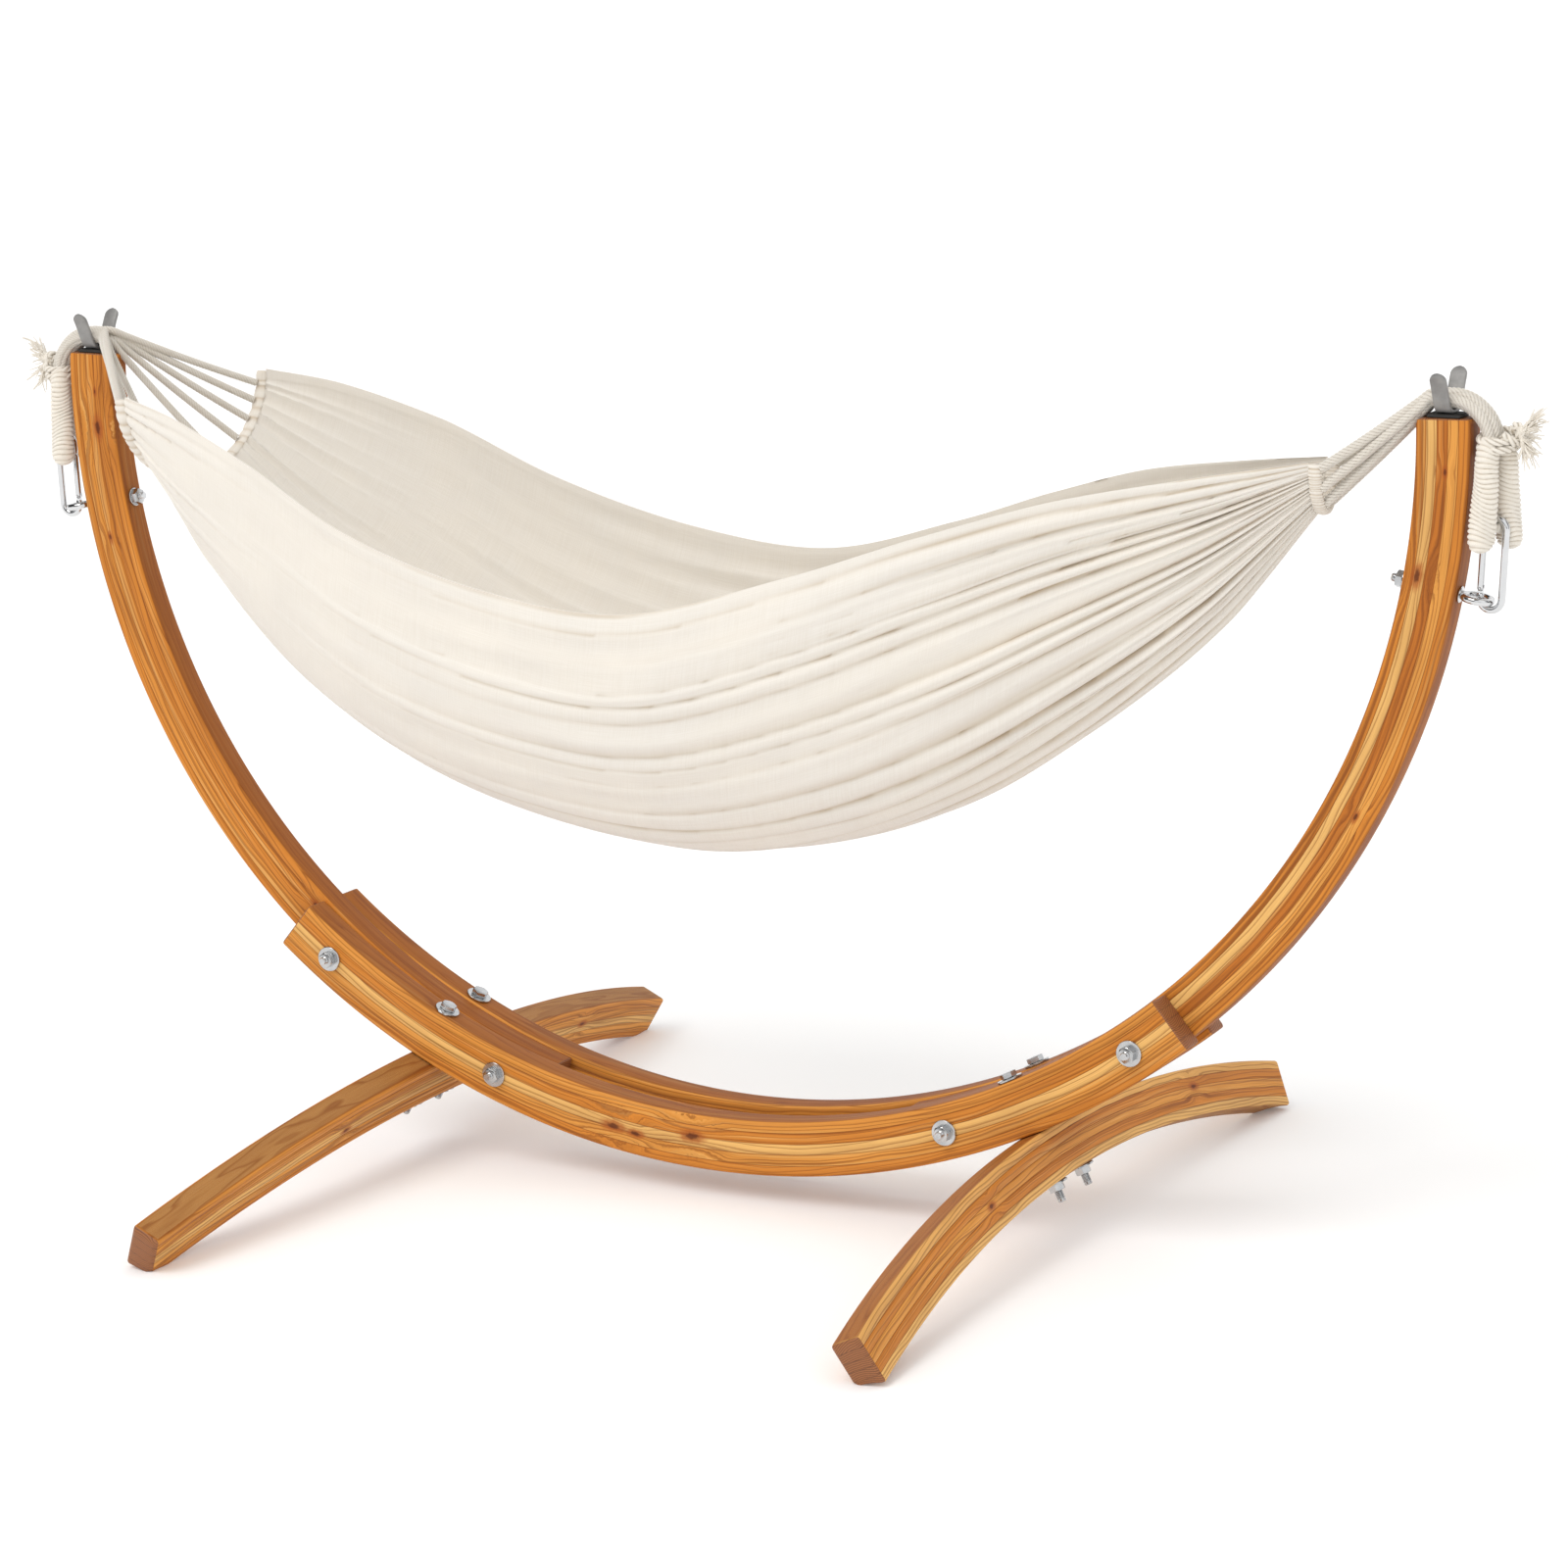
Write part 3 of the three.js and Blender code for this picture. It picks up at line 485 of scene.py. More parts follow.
def larch(name, seed, depth, knots, tone):
    """Laminated larch. The mark is (along, across the layers, across the width); a knot is (along, across,
    size); tone shifts the layers toward the paler boards."""
    s = Shader(name)
    along, radial, width = s.split(s.mark())
    layer, from_middle = wood_layers(s, radial, depth)
    chance = s.white(s.plus(layer, seed * 17.3))
    chance_2 = s.white(s.plus(layer, seed * 5.9 + 40))
    # Knots push the grain aside.
    knot_mask, red_mask, push = 0.0, 0.0, radial
    for k, (at, off, size) in enumerate(knots):
        du = s.math("SUBTRACT", along, at)
        dv = s.math("SUBTRACT", radial, off)
        wobble = s.noise(s.join(along, radial, k * 3.1), 160, 2)
        far = s.math("SQRT", s.plus(*(s.math("POWER", s.math("ABSOLUTE", s.math("DIVIDE", away, reach)), 2)
                                      for away, reach in ((du, size * 2.3), (dv, size)))))
        far = s.plus(far, s.scaled(wobble, 0.7, -0.35))
        knot_mask = s.math("MAXIMUM", knot_mask, s.span(far, 0.30, 0.75, 1.0, 0.0))
        red_mask = s.math("MAXIMUM", red_mask, s.span(far, 0.7, 1.7, 1.0, 0.0))
        push = s.plus(push, s.times(s.span(far, 0.5, 5.0, 1.0, 0.0), s.times(dv, 0.9)))
    # Slow bending of the grain along the board, different in each layer.
    drift = s.drawn_out((along, 2.6), (chance, 31.0), (width, 22.0), detail=3, roughness=0.55)
    across = s.plus(push, s.times(width, s.scaled(chance_2, 1.3, -0.55)))
    place = s.plus(s.times(across, SIDE_RINGS), s.times(drift, 6.5))
    rings = s.noise(s.join(0.0, s.times(chance, 57.0), place), 1.0, 1, 0.4)
    saw = s.math("FRACT", s.plus(place, s.times(rings, 2.0)))
    late = s.ramp(saw, [(0.0, 0.0), (0.55, 0.08), (0.86, 1.0), (1.0, 0.0)], smooth=False)
    streak = s.drawn_out((along, 2.2), (across, 150.0), (chance, 19.0), detail=4, roughness=0.62)
    fibre = s.drawn_out((along, 14.0), (across, 1100.0), (width, 900.0), detail=3, roughness=0.6)
    cloud = s.drawn_out((along, 5.0), (radial, 40.0), (width, 40.0))
    colour = s.ramp(s.plus(chance, tone), [(0.0, DEEP_WOOD), (0.2, ORANGE_WOOD), (0.5, ORANGE_WOOD),
                                           (0.8, LIGHT_WOOD), (0.97, CREAM_WOOD)])
    colour = s.tint(colour, streak, (0.52, 0.70, 0.0, 0.54), CREAM_WOOD)
    colour = s.tint(colour, streak, (0.28, 0.47, 0.75, 0.0), RED_WOOD)
    colour = s.mix(s.times(late, 0.66), colour, RED_WOOD)
    colour = s.tint(colour, cloud, (0.42, 0.75, 0.0, 0.22), RED_WOOD)
    colour = s.tint(colour, fibre, (0.3, 0.75, 0.22, 0.0), FIBRE_WOOD)
    glue = s.span(from_middle, 0.44, 0.49)
    colour = s.mix(s.times(glue, 0.62), colour, RED_WOOD)
    colour = s.mix(s.times(red_mask, 0.75), colour, KNOT_RIM)
    colour = s.mix(s.times(knot_mask, 0.85), colour, KNOT_WOOD)
    height = s.math("SUBTRACT", s.times(late, 0.35), s.times(fibre, 0.5))
    return s.finish(base=colour, roughness=s.span(fibre, 0.2, 0.8, 0.62, 0.50), coat=0.05, coat_roughness=0.3,
                    specular=0.16, normal=s.bump(height, 0.00025, 0.5))


def larch_end(name, seed, depth):
    """End grain: growth rings of a different tree in each layer."""
    s = Shader(name)
    _, radial, width = s.split(s.mark())
    layer, from_middle = wood_layers(s, radial, depth)
    wide = s.plus(width, s.scaled(s.white(s.plus(layer, seed * 9.7)), 0.06, -0.03))
    deep = s.plus(radial, s.scaled(s.white(s.plus(layer, seed + 70.0)), 0.05, 0.02))
    far = s.math("SQRT", s.plus(s.times(wide, wide), s.times(deep, deep)))
    far = s.plus(far, s.times(s.noise(s.mark(), 60, 2), 0.003))
    late = s.ramp(s.math("FRACT", s.times(far, END_RINGS)),
                  [(0.0, 0.0), (0.5, 0.3), (0.9, 1.0), (1.0, 0.0)], smooth=False)
    colour = s.mix(late, END_LIGHT, END_DARK)
    colour = s.tint(colour, from_middle, (0.45, 0.49, 0.0, 0.7), END_GLUE)
    pores = s.noise(s.mark(), 1500, 2, 0.6)
    colour = s.tint(colour, pores, (0.35, 0.7, 0.35, 0.0), END_PORE)
    return s.finish(base=colour, roughness=0.62, coat=0.1, coat_roughness=0.3,
                    normal=s.bump(pores, 0.0003, 0.4))


def bright_zinc():
    s = Shader("bright_zinc")
    place = s.place()
    cloud = s.noise(place, 90, 3)
    base = s.mix(s.span(cloud, 0.3, 0.7), rgb(0.47, 0.48, 0.49), rgb(0.60, 0.605, 0.61))
    return s.finish(base=base, metallic=1.0, roughness=s.span(cloud, 0.25, 0.75, 0.20, 0.26),
                    normal=s.bump(s.noise(place, 1400, 2), 0.000004, 0.3))


def chrome_wire():
    s = Shader("chrome_wire")
    place = s.place()
    cloud = s.noise(place, 60, 3)
    base = s.mix(cloud, rgb(0.60, 0.61, 0.62), rgb(0.74, 0.74, 0.745))
    return s.finish(base=base, metallic=1.0, roughness=s.span(cloud, 0.3, 0.75, 0.07, 0.18),
                    normal=s.bump(s.noise(place, 300, 2), 0.00001, 0.3))


def satin_grey():
    s = Shader("satin_grey_steel")
    place = s.place()
    speck = s.noise(place, 900, 2)
    base = s.mix(s.span(s.noise(place, 70, 3), 0.3, 0.7), rgb(0.235, 0.23, 0.225), rgb(0.30, 0.295, 0.285))
    return s.finish(base=base, metallic=0.35, roughness=s.span(speck, 0.3, 0.7, 0.36, 0.5),
                    normal=s.bump(speck, 0.00001, 0.5))


def black_rubber():
    s = Shader("black_rubber")
    grain = s.noise(s.place(), 1300, 3)
    return s.finish(base=s.mix(grain, rgb(0.012, 0.011, 0.010), rgb(0.03, 0.028, 0.026)), roughness=0.72,
                    normal=s.bump(grain, 0.0001, 0.6))


ROPE_LIGHT = rgb(0.88, 0.835, 0.76)
ROPE_MID = rgb(0.76, 0.69, 0.58)
ROPE_SHADE_AND_FUZZ = rgb(0.50, 0.41, 0.30)
CLOTH_LIGHT = rgb(0.80, 0.761, 0.701)
CLOTH_WARM = rgb(0.83, 0.78, 0.70)
CLOTH_SLUB = rgb(0.56, 0.48, 0.36)
CLOTH_FOLD_SHADE = rgb(0.53, 0.42, 0.29)
THREAD_PITCH = 0.0011


def cotton_rope():
    """The mark is (yarn phase, metres along, height above the groove from 0 to 1); the height paints shade,
    darker down in the grooves.
    """
    s = Shader("cotton_rope")
    phase, _, height = s.split(s.mark())
    yarn = s.scaled(s.math("SINE", s.times(phase, 2 * math.pi)), 0.5, 0.5)
    fuzz = s.noise(s.place(), 1900, 3, 0.65)
    cloud = s.noise(s.place(), 55, 3)
    # Painted shade: darker low in the grooves between strands and between whipping turns.
    colour = s.mix(s.span(height, 0.0, 0.75), ROPE_SHADE_AND_FUZZ, ROPE_LIGHT)
    colour = s.tint(colour, yarn, (0.0, 0.55, 0.38, 0.0), ROPE_MID)
    colour = s.tint(colour, cloud, (0.35, 0.7, 0.25, 0.0), ROPE_MID)
    colour = s.tint(colour, fuzz, (0.3, 0.7, 0.16, 0.0), ROPE_SHADE_AND_FUZZ)
    rough = s.plus(s.times(yarn, 0.6), s.times(fuzz, 0.7))
    return s.finish(base=colour, roughness=0.92, sheen=0.35, sheen_roughness=0.5, specular=0.25,
                    normal=s.bump(rough, 0.0005, 0.7))


def cotton_cloth():
    """Plain weave. The mark is (metres along, metres across, fold shade from 0 to 1), which paints shade:
    dark in the folds' grooves, light on their ridges.
    """
    s = Shader("cotton_cloth")
    along, across, fold_shade = s.split(s.mark())
    warp, weft = (s.math("SINE", s.times(way, 2 * math.pi / THREAD_PITCH)) for way in (across, along))
    weave = s.times(warp, weft)
    slub = s.plus(s.drawn_out((along, 18.0), (across, 900.0), 0.0, roughness=0.6),
                  s.drawn_out((along, 900.0), (across, 18.0), 4.0, roughness=0.6))
    soft = s.noise(s.join(along, across, 0.0), 9.0, 3)
    # Painted shade: the cloth is darker in the grooves of its folds and lighter on their ridges.
    colour = s.mix(s.span(fold_shade, -0.03, 0.78), CLOTH_FOLD_SHADE, CLOTH_LIGHT)
    colour = s.tint(colour, soft, (0.35, 0.7, 0.0, 0.5), CLOTH_WARM)
    colour = s.tint(colour, slub, (0.75, 1.25, 0.14, 0.0), CLOTH_SLUB)
    relief = s.plus(s.times(weave, 0.35), s.times(slub, 0.8))
    return s.finish(base=colour, roughness=0.88, sheen=0.25, sheen_roughness=0.45, specular=0.25,
                    normal=s.bump(relief, 0.00025, 0.6))


ZINC = bright_zinc()
CHROME = chrome_wire()
GREY_STEEL = satin_grey()
RUBBER = black_rubber()
ROPE = cotton_rope()
CLOTH = cotton_cloth()


# ---- wood ----
WOOD_EDGE = 0.0035
GROOVE, GROOVE_DEEP = 0.0005, 0.0004
BEAM_SOFT, FOOT_SOFT = 0.0025, 0.006  # rounding of the cut ends
FOOT_TONE = 0.13
ROUND_ROWS = 3  # rows of faces on a beam's rounded end that show end grain
FOOT_KNOTS = [(-0.22, 0.0, 0.004), (0.34, 0.006, 0.0045)]
KNOTS = {  # metres along the beam, metres from its middle line, size
    "arm_right": [(1.32, 0.004, 0.0026), (1.205, -0.014, 0.0055), (0.93, 0.010, 0.003)],
    "arm_left": [(1.329, -0.006, 0.0022), (1.285, -0.006, 0.0060), (1.15, 0.004, 0.003),
                 (0.62, -0.012, 0.004)],
    "rail_front": [(-0.135, 0.004, 0.0060), (-0.105, 0.006, 0.0045), (-0.03, -0.006, 0.0065)],
    "rail_rear": [(0.2, 0.0, 0.004)],
    "foot_right": FOOT_KNOTS,
    "foot_left": FOOT_KNOTS,
}


def beam_section(depth, width):
    """A rounded rectangle with a fine groove at each glue line, as (across the layers, across the width)."""
    half, flat = depth / 2, width / 2
    seams = [half - depth * k / LAYERS for k in range(1, LAYERS)]
    side = []
    for v in seams:
        side += [(v + GROOVE, flat), (v, flat - GROOVE_DEEP), (v - GROOVE, flat)]
    corner = [(half - WOOD_EDGE * (1 - math.sin(a)), flat - WOOD_EDGE * (1 - math.cos(a)))
              for a in np.radians([90, 67, 45, 22, 0])]
    low = [(-v, w) for v, w in reversed(corner)]
    front = corner + side + low
    return np.array(front + [(v, -w) for v, w in reversed(front)])


def beam(point, from_angle, to_angle, radius, depth, width, end_cuts=(0, 0), soft=BEAM_SOFT):
    """A curved laminated beam; point(angle, offset, across) gives a place. end_cuts narrows its ends."""
    section = beam_section(depth, width)
    count = int(abs(to_angle - from_angle) * math.radians(radius) / (0.008))
    turn = np.array([0.0, 0.1, 0.35, 0.65, 1.0]) * soft
    inset = (1 - np.sqrt(1 - np.array([1.0, 0.9, 0.65, 0.35, 0.0]) ** 2)) * soft
    step = np.degrees(turn / radius)
    angles = np.concatenate([from_angle + step, np.linspace(from_angle, to_angle, count)[1:-1],
                             to_angle - step[::-1]])
    insets = np.concatenate([inset, np.zeros(count - 2), inset[::-1]])
    narrow = np.zeros(len(angles))
    for cut, end in zip(end_cuts, (from_angle, to_angle)):
        if cut:
            away = np.abs(angles - end) * math.radians(radius)
            narrow = np.maximum(narrow, cut * np.clip(1 - away / (cut * 0.8), 0, 1))
    points, marks = [], []
    for a, i, n in zip(angles, insets, narrow):
        v = section[:, 0] * (1 - 2 * (i + n) / depth)
        w = section[:, 1] * (1 - 2 * i / width)
        points.append([point(a, offset, across) for offset, across in zip(v, w)])
        marks.append(np.stack([np.full(len(v), math.radians(a) * radius), v, w], 1))
    faces = capped(len(points), len(section))
    return np.array(points).reshape(-1, 3), faces, np.array(marks).reshape(-1, 3)


def wooden(name, body, seed, depth, tone=0.0, mirror=False):
    """One beam with its side and end materials."""
    solid = Solid().add(*body)
    sides = larch("larch_" + name, seed, depth, KNOTS[name], tone)
    ends = larch_end("larch_end_" + name, seed, depth)
    piece = make(name + "_wood", solid, [sides, ends], "stand", [name], mirror)
    ring = len(beam_section(depth, ARM_WIDTH))
    rows = len(piece.data.polygons) // ring
    for face in piece.data.polygons:
        row = face.index // ring
        if len(face.vertices) > 4 or row < ROUND_ROWS or row >= rows - ROUND_ROWS:
            face.material_index = 1
    return piece


def build_wood():
    top = ARM_TOP_Z - 0.0013  # the arm's end is flat under the pad

    def arm(angle, offset, across):
        p = arm_point(angle, offset, across)
        p[2] = min(p[2], top)
        return p

    right = beam(arm, ARM_LOW, ARM_TOP, ARM_RADIUS, ARM_DEPTH, ARM_WIDTH, (0, ARM_CHAMFER))
    wooden("arm_right", right, 1.0, ARM_DEPTH)
    wooden("arm_left", right, 8.0, ARM_DEPTH, mirror=True)
    for name, y, seed in (("rail_front", -RAIL_Y, 3.0), ("rail_rear", RAIL_Y, 4.0)):
        body = beam(lambda a, v, w: rail_point(a, v, w + y), -RAIL_END, RAIL_END,
                    RAIL_RADIUS, RAIL_DEPTH, RAIL_WIDTH)
        wooden(name, body, seed, RAIL_DEPTH)
    for name, side, seed in (("foot_right", 1, 5.0), ("foot_left", -1, 6.0)):
        away = outward(side * FOOT_ANGLE)
        across = np.cross(Y_AXIS, away)

        def foot(angle, offset, width):
            a, r = math.radians(angle), FOOT_RADIUS + offset
            p = Y_AXIS * (r * math.sin(a)) + away * (FOOT_MIDDLE + FOOT_RADIUS - r * math.cos(a))
            p = p + across * width + vec(0, 0, RAIL_CENTRE)
            p[2] = max(p[2], 0.0)
            return p

        body = beam(foot, -FOOT_END, FOOT_END, FOOT_RADIUS, FOOT_DEPTH, FOOT_WIDTH, soft=FOOT_SOFT)
        wooden(name, body, seed, FOOT_DEPTH, FOOT_TONE)


# ---- fasteners ----
PITCH = 0.0015
AXIS = 0.0004  # a turned body's innermost ring, which closes its end
WASHER_HOLE = 0.0052


def thread(radius, low, high):
    """Thread rings and a chamfered tip, as a turned profile going up."""
    profile = []
    for z in np.arange(low, high - 2 * PITCH, PITCH):
        profile += [(radius, z), (radius, z + 0.25 * PITCH), (radius * 0.86, z + 0.6 * PITCH)]
    return profile + [(radius * 0.97, high - PITCH), (radius * 0.8, high), (AXIS, high)]


def hex_profile(flats, low, high):
    """A chamfered hexagon's turned limits, with enough rings for the curved chamfer."""
    corner = flats / math.sqrt(3)
    drop = (corner - flats / 2 * 0.96) * 0.55
    rings = [(flats / 2 * 0.94 + (corner - flats / 2 * 0.94) * k / 6, high - drop * k / 6) for k in range(7)]
    low_rings = [(r, low + (high - z) * 0.6) for r, z in rings]
    return [(AXIS, low)] + low_rings + rings[::-1] + [(AXIS, high)]


def washer_profile(outer, low, high):
    soft = 0.0005
    return [(WASHER_HOLE, low), (outer - soft, low), (outer, low + soft), (outer, high - soft),
            (outer - soft, high), (WASHER_HOLE, high)]


def hex_bolt(length, turn):
    head_low = -WASHER_THICK - GAP - HEAD_HEIGHT
    solid = Solid()
    solid.add(*turned(hex_profile(NUT_FLATS, head_low, -WASHER_THICK - GAP), 48, NUT_FLATS))
    solid.add(*turned(washer_profile(WASHER / 2, -WASHER_THICK - GAP, -GAP)))
    shank = [(AXIS, -WASHER_THICK), (BOLT / 2 - 0.0003, -WASHER_THICK)]
    solid.add(*turned(shank + thread(BOLT / 2 - 0.0001, length - 0.03, length), 32))
    return solid, turn


def nut(washer, turn):
    top = WASHER_THICK + GAP + NUT_HEIGHT
    solid = Solid()
    solid.add(*turned(hex_profile(NUT_FLATS, WASHER_THICK + GAP, top), 48, NUT_FLATS))
    solid.add(*turned(washer_profile(washer / 2, GAP, WASHER_THICK + GAP)))
    return solid, turn


def fasten(name, fastener, origin, direction):
    """The fastener on the right, and its mirror copy on the left."""
    solid, turn = fastener
    points, _ = placed((np.concatenate(solid.points), solid.faces), origin, direction, turn)
    solid.points = [points]
    both_sides(name, solid, ZINC, sharp=28, ending="metal")


def foot_sag(distance):
    radius = FOOT_RADIUS - FOOT_DEPTH / 2
    return radius - math.sqrt(radius**2 - distance**2)


def build_fasteners():
    for i, (name, angle) in enumerate(BOLT_ANGLES.items()):
        length = 2 * PACK + 2 * GAP + WASHER_THICK + NUT_HEIGHT + BOLT_STUB
        fasten("rail_bolt_" + name, hex_bolt(length, 0.3 + i), rail_point(angle, 0, PACK), -Y_AXIS)
        fasten("rail_nut_" + name, nut(WASHER, 0.9 + 2 * i), rail_point(angle, 0, -PACK), -Y_AXIS)
    clamp = RAIL_DEPTH + GAP + FOOT_DEPTH
    for i, (name, y) in enumerate((("front", -RAIL_Y), ("rear", RAIL_Y))):
        sag = foot_sag(abs(y) + WASHER / 2) + 0.0006
        length = clamp + sag + WASHER_THICK + NUT_HEIGHT + FOOT_BOLT_STUB
        way = outward(FOOT_ANGLE)
        head = rail_point(FOOT_ANGLE, -RAIL_DEPTH / 2 - 0.0002, y)
        under = rail_point(FOOT_ANGLE, clamp + sag - RAIL_DEPTH / 2, y)
        fasten("foot_bolt_" + name, hex_bolt(length, 0.2 + i), head, way)
        fasten("foot_nut_" + name, nut(WASHER, 0.7 + i), under, way)
    fasten("eye_nut", nut(0.022, 0.4), arm_point(EYE_ANGLE, -ARM_DEPTH / 2), -outward(EYE_ANGLE))


# ---- hooks, eye bolts and snap hooks ----
# Half of the forked plate's line, as shares of its reach and height.
FORK_HALF = [(0, 0), (0.24, 0.01), (0.42, 0.1), (0.56, 0.28), (0.7, 0.55), (0.86, 0.82), (1, 1)]


def both_sides(name, solid, material, sharp=40, ending="fine"):
    """The piece on the right of the stand and its mirror copy on the left."""
    for side in ("right", "left"):
        node = f"{name}_{side}"
        make(f"{node}_{ending}", solid, material, "stand", [node], mirror=side == "left", sharp=sharp)


def build_fork():
    half = np.array(FORK_HALF)
    line = np.vstack([half[:0:-1] * [-1, 1], half])
    middle = np.stack([np.full(len(line), HOOK_X), line[:, 0] * HOOK_REACH,
                       HOOK_Z + HOOK_THICK / 2 + line[:, 1] * (HOOK_HEIGHT - HOOK_THICK)], 1)
    path, along = spaced(curve(middle, 200), 0.001)
    tip = HOOK_WIDTH / 2
    away = np.minimum(along, along[-1] - along)
    reach = np.where(away < tip, np.sqrt(np.maximum(tip**2 - (tip - away) ** 2, 1e-8)), tip)
    soft = 0.0009
    corner = np.radians([0, 30, 60, 90])
    quarter = [(-soft * (1 - math.cos(a)), HOOK_THICK / 2 - soft * (1 - math.sin(a))) for a in corner]
    sections = []
    for r in np.maximum(reach, soft + 0.0002):
        part = [(r + x, y) for x, y in quarter]
        upper = part + [(-x, y) for x, y in reversed(part)]
        sections.append(upper + [(x, -y) for x, y in reversed(upper)])
    solid = Solid().add(*sweep(path, np.array(sections), vec(1, 0, 0)))
    both_sides("fork_hook", solid, GREY_STEEL, sharp=50)


def build_screw_and_pad():
    top = HOOK_Z + HOOK_THICK
    profile = [(AXIS, -0.045), (0.0024, -0.043), (0.0025, -0.004), (0.0047, -0.0012), (0.0047, -0.0006),
               (0.0040, 0.0), (0.0020, 0.0), (0.0018, -0.0009), (AXIS, -0.0009)]
    screw = Solid().add(*placed(turned(profile, 32), (HOOK_X, 0, top - 0.0002), Z_AXIS))
    both_sides("hook_screw", screw, ZINC, sharp=35)
    x, y, soft, corner = 0.019, 0.016, 0.0012, 0.004
    pad = []
    for z, inset in ((-0.0010, soft), (-0.0002, 0.0), (PAD_THICK - soft, 0.0),
                     (PAD_THICK - 0.35 * soft, 0.35 * soft), (PAD_THICK, soft)):
        pad.append(rounded_outline(x - inset, y - inset, corner, ARM_TOP_Z + z, HOOK_X))
    both_sides("hook_pad", Solid().add(np.concatenate(pad), capped(len(pad), len(pad[0]))), RUBBER)


def rounded_outline(half_x, half_y, radius, z, centre_x, steps=5):
    points = []
    for quarter, (sx, sy) in enumerate(SQUARE):
        for a in np.radians(90 * quarter + np.linspace(0, 90, steps)):
            points.append((centre_x + sx * (half_x - radius) + radius * math.cos(a),
                           sy * (half_y - radius) + radius * math.sin(a), z))
    return np.array(points)


# The snap hook's own frame: up from the eye bolt's ring to the loop, and out from the arm.
EYE_WAY = outward(EYE_ANGLE)
EYE_FACE = arm_point(EYE_ANGLE, ARM_DEPTH / 2)
SNAP_FOOT = arm_point(EYE_ANGLE, ARM_DEPTH / 2 + EYE_NECK + 2 * EYE_RING)
SNAP_HEAD = vec(LOOP_X, 0, SADDLE_Z)
SNAP_UP = unit(SNAP_HEAD - SNAP_FOOT)
SNAP_OUT = np.cross(Y_AXIS, SNAP_UP)
SNAP_LOW = SNAP_HALF - (EYE_WIRE + SNAP_WIRE) / 2 - 0.0004
SNAP_HIGH = np.linalg.norm(SNAP_HEAD - SNAP_FOOT) - SNAP_HALF + (SADDLE + SNAP_WIRE) / 2 + 0.0006
GATE_LOW, GATE_HIGH = SNAP_LOW + 0.010, SNAP_HIGH - 0.012
SLOT_REACH, SLOT_HALF, PIN_HOLE = 0.007, 0.0017, 0.0016  # the gate's slot and the hole for its pin


def snap_point(u, v):
    return SNAP_FOOT + SNAP_OUT * u + SNAP_UP * v


def build_eye_bolt():
    centre = EYE_FACE + EYE_WAY * (EYE_RING + EYE_NECK)
    a = circle(72)
    ring = centre + EYE_RING * (np.cos(a)[:, None] * EYE_WAY + np.sin(a)[:, None] * Y_AXIS)
    solid = Solid().add(*tube(ring, EYE_WIRE / 2, np.cross(EYE_WAY, Y_AXIS), 20, closed=True))
    low = -ARM_DEPTH - WASHER_THICK - NUT_HEIGHT - BOLT_STUB
    stud = [(r, -z) for r, z in reversed(thread(BOLT / 2 - 0.0001, 0.036, -low))]
    stud += [(BOLT / 2, -0.030), (BOLT / 2, 0.004), (0.0034, 0.0075), (AXIS, 0.0085)]
    solid.add(*placed(turned(stud, 32), EYE_FACE, EYE_WAY))
    collar = [(AXIS, GAP), (0.0085, GAP), (0.009, 0.0009), (0.009, 0.0018), (0.0082, 0.0026), (AXIS, 0.0026)]
    solid.add(*placed(turned(collar), EYE_FACE, EYE_WAY))
    both_sides("eye_bolt", solid, CHROME)


def build_snap_hook():
    w = SNAP_HALF
    arc = np.linspace(0, math.pi, 25)
    line = [(-w, GATE_HIGH + 0.001), (-w, GATE_HIGH + 0.005)]
    line += [(-w * math.cos(a), SNAP_HIGH + w * math.sin(a)) for a in arc]
    line += [(w, SNAP_HIGH + (SNAP_LOW - SNAP_HIGH) * k / 12) for k in range(1, 12)]
    line += [(w * math.cos(a), SNAP_LOW - w * math.sin(a)) for a in arc]
    line += [(-w, GATE_LOW - 0.0062), (-w, GATE_LOW - 0.0052)]
    path = [snap_point(u, v) for u, v in line]
    radius = np.full(len(path), SNAP_WIRE / 2)
    radius[[0, -1]] = SNAP_WIRE / 2 - 0.0007
    solid = Solid().add(*tube(path, radius, Y_AXIS, 20))
    tongue = []
    for v, r in ((-0.010, 0.9), (-0.0085, 1.0), (0.0, 1.0), (0.0012, 0.8)):
        for u, y in SQUARE:
            tongue.append(snap_point(-w + 0.003 * r * u, GATE_LOW + v) + Y_AXIS * 0.0013 * r * y)
    solid.add(np.array(tongue), capped(4, 4))
    pin = [(0.0002, -0.0038), (0.0010, -0.0038), (0.0012, -0.0034), (0.0012, 0.0034), (0.0010, 0.0038),
           (0.0002, 0.0038)]
    solid.add(*placed(turned(pin, 16), snap_point(-w, GATE_LOW), Y_AXIS))
    both_sides("snap_hook", solid, CHROME)


def build_gate():
    """A round bar with a slot and a cross hole at its foot, cut by Blender's booleans."""
    bottom = snap_point(-SNAP_HALF, GATE_LOW - 0.0036)
    length = GATE_HIGH - GATE_LOW + 0.0042
    stations, radii = round_ends(SNAP_WIRE / 2 - 0.0003, length, 5)
    path = bottom + stations[:, None] * SNAP_UP
    for side in ("right", "left"):
        node = "snap_gate_" + side
        left = side == "left"
        gate = make(node + "_fine", Solid().add(*tube(path, radii, Y_AXIS, 32)), CHROME,
                    None, [node], mirror=left)
        corners = [snap_point(-SNAP_HALF + SLOT_REACH * u, GATE_LOW + v) + Y_AXIS * SLOT_HALF * y
                   for v in (-0.008, 0.004) for u, y in SQUARE]
        slot = Solid().add(np.array(corners), capped(2, 4))
        hole = Solid().add(*placed(turned([(PIN_HOLE, -0.01), (PIN_HOLE, 0.01)], 20),
                                   snap_point(-SNAP_HALF, GATE_LOW), Y_AXIS))
        for tool in (slot, hole):
            subtract(gate, make("cutter", tool, CHROME, None, mirror=left))
        gate.data.shade_smooth()
        gate.data.set_sharp_from_angle(angle=math.radians(35))
        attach(gate, "gate_" + side)


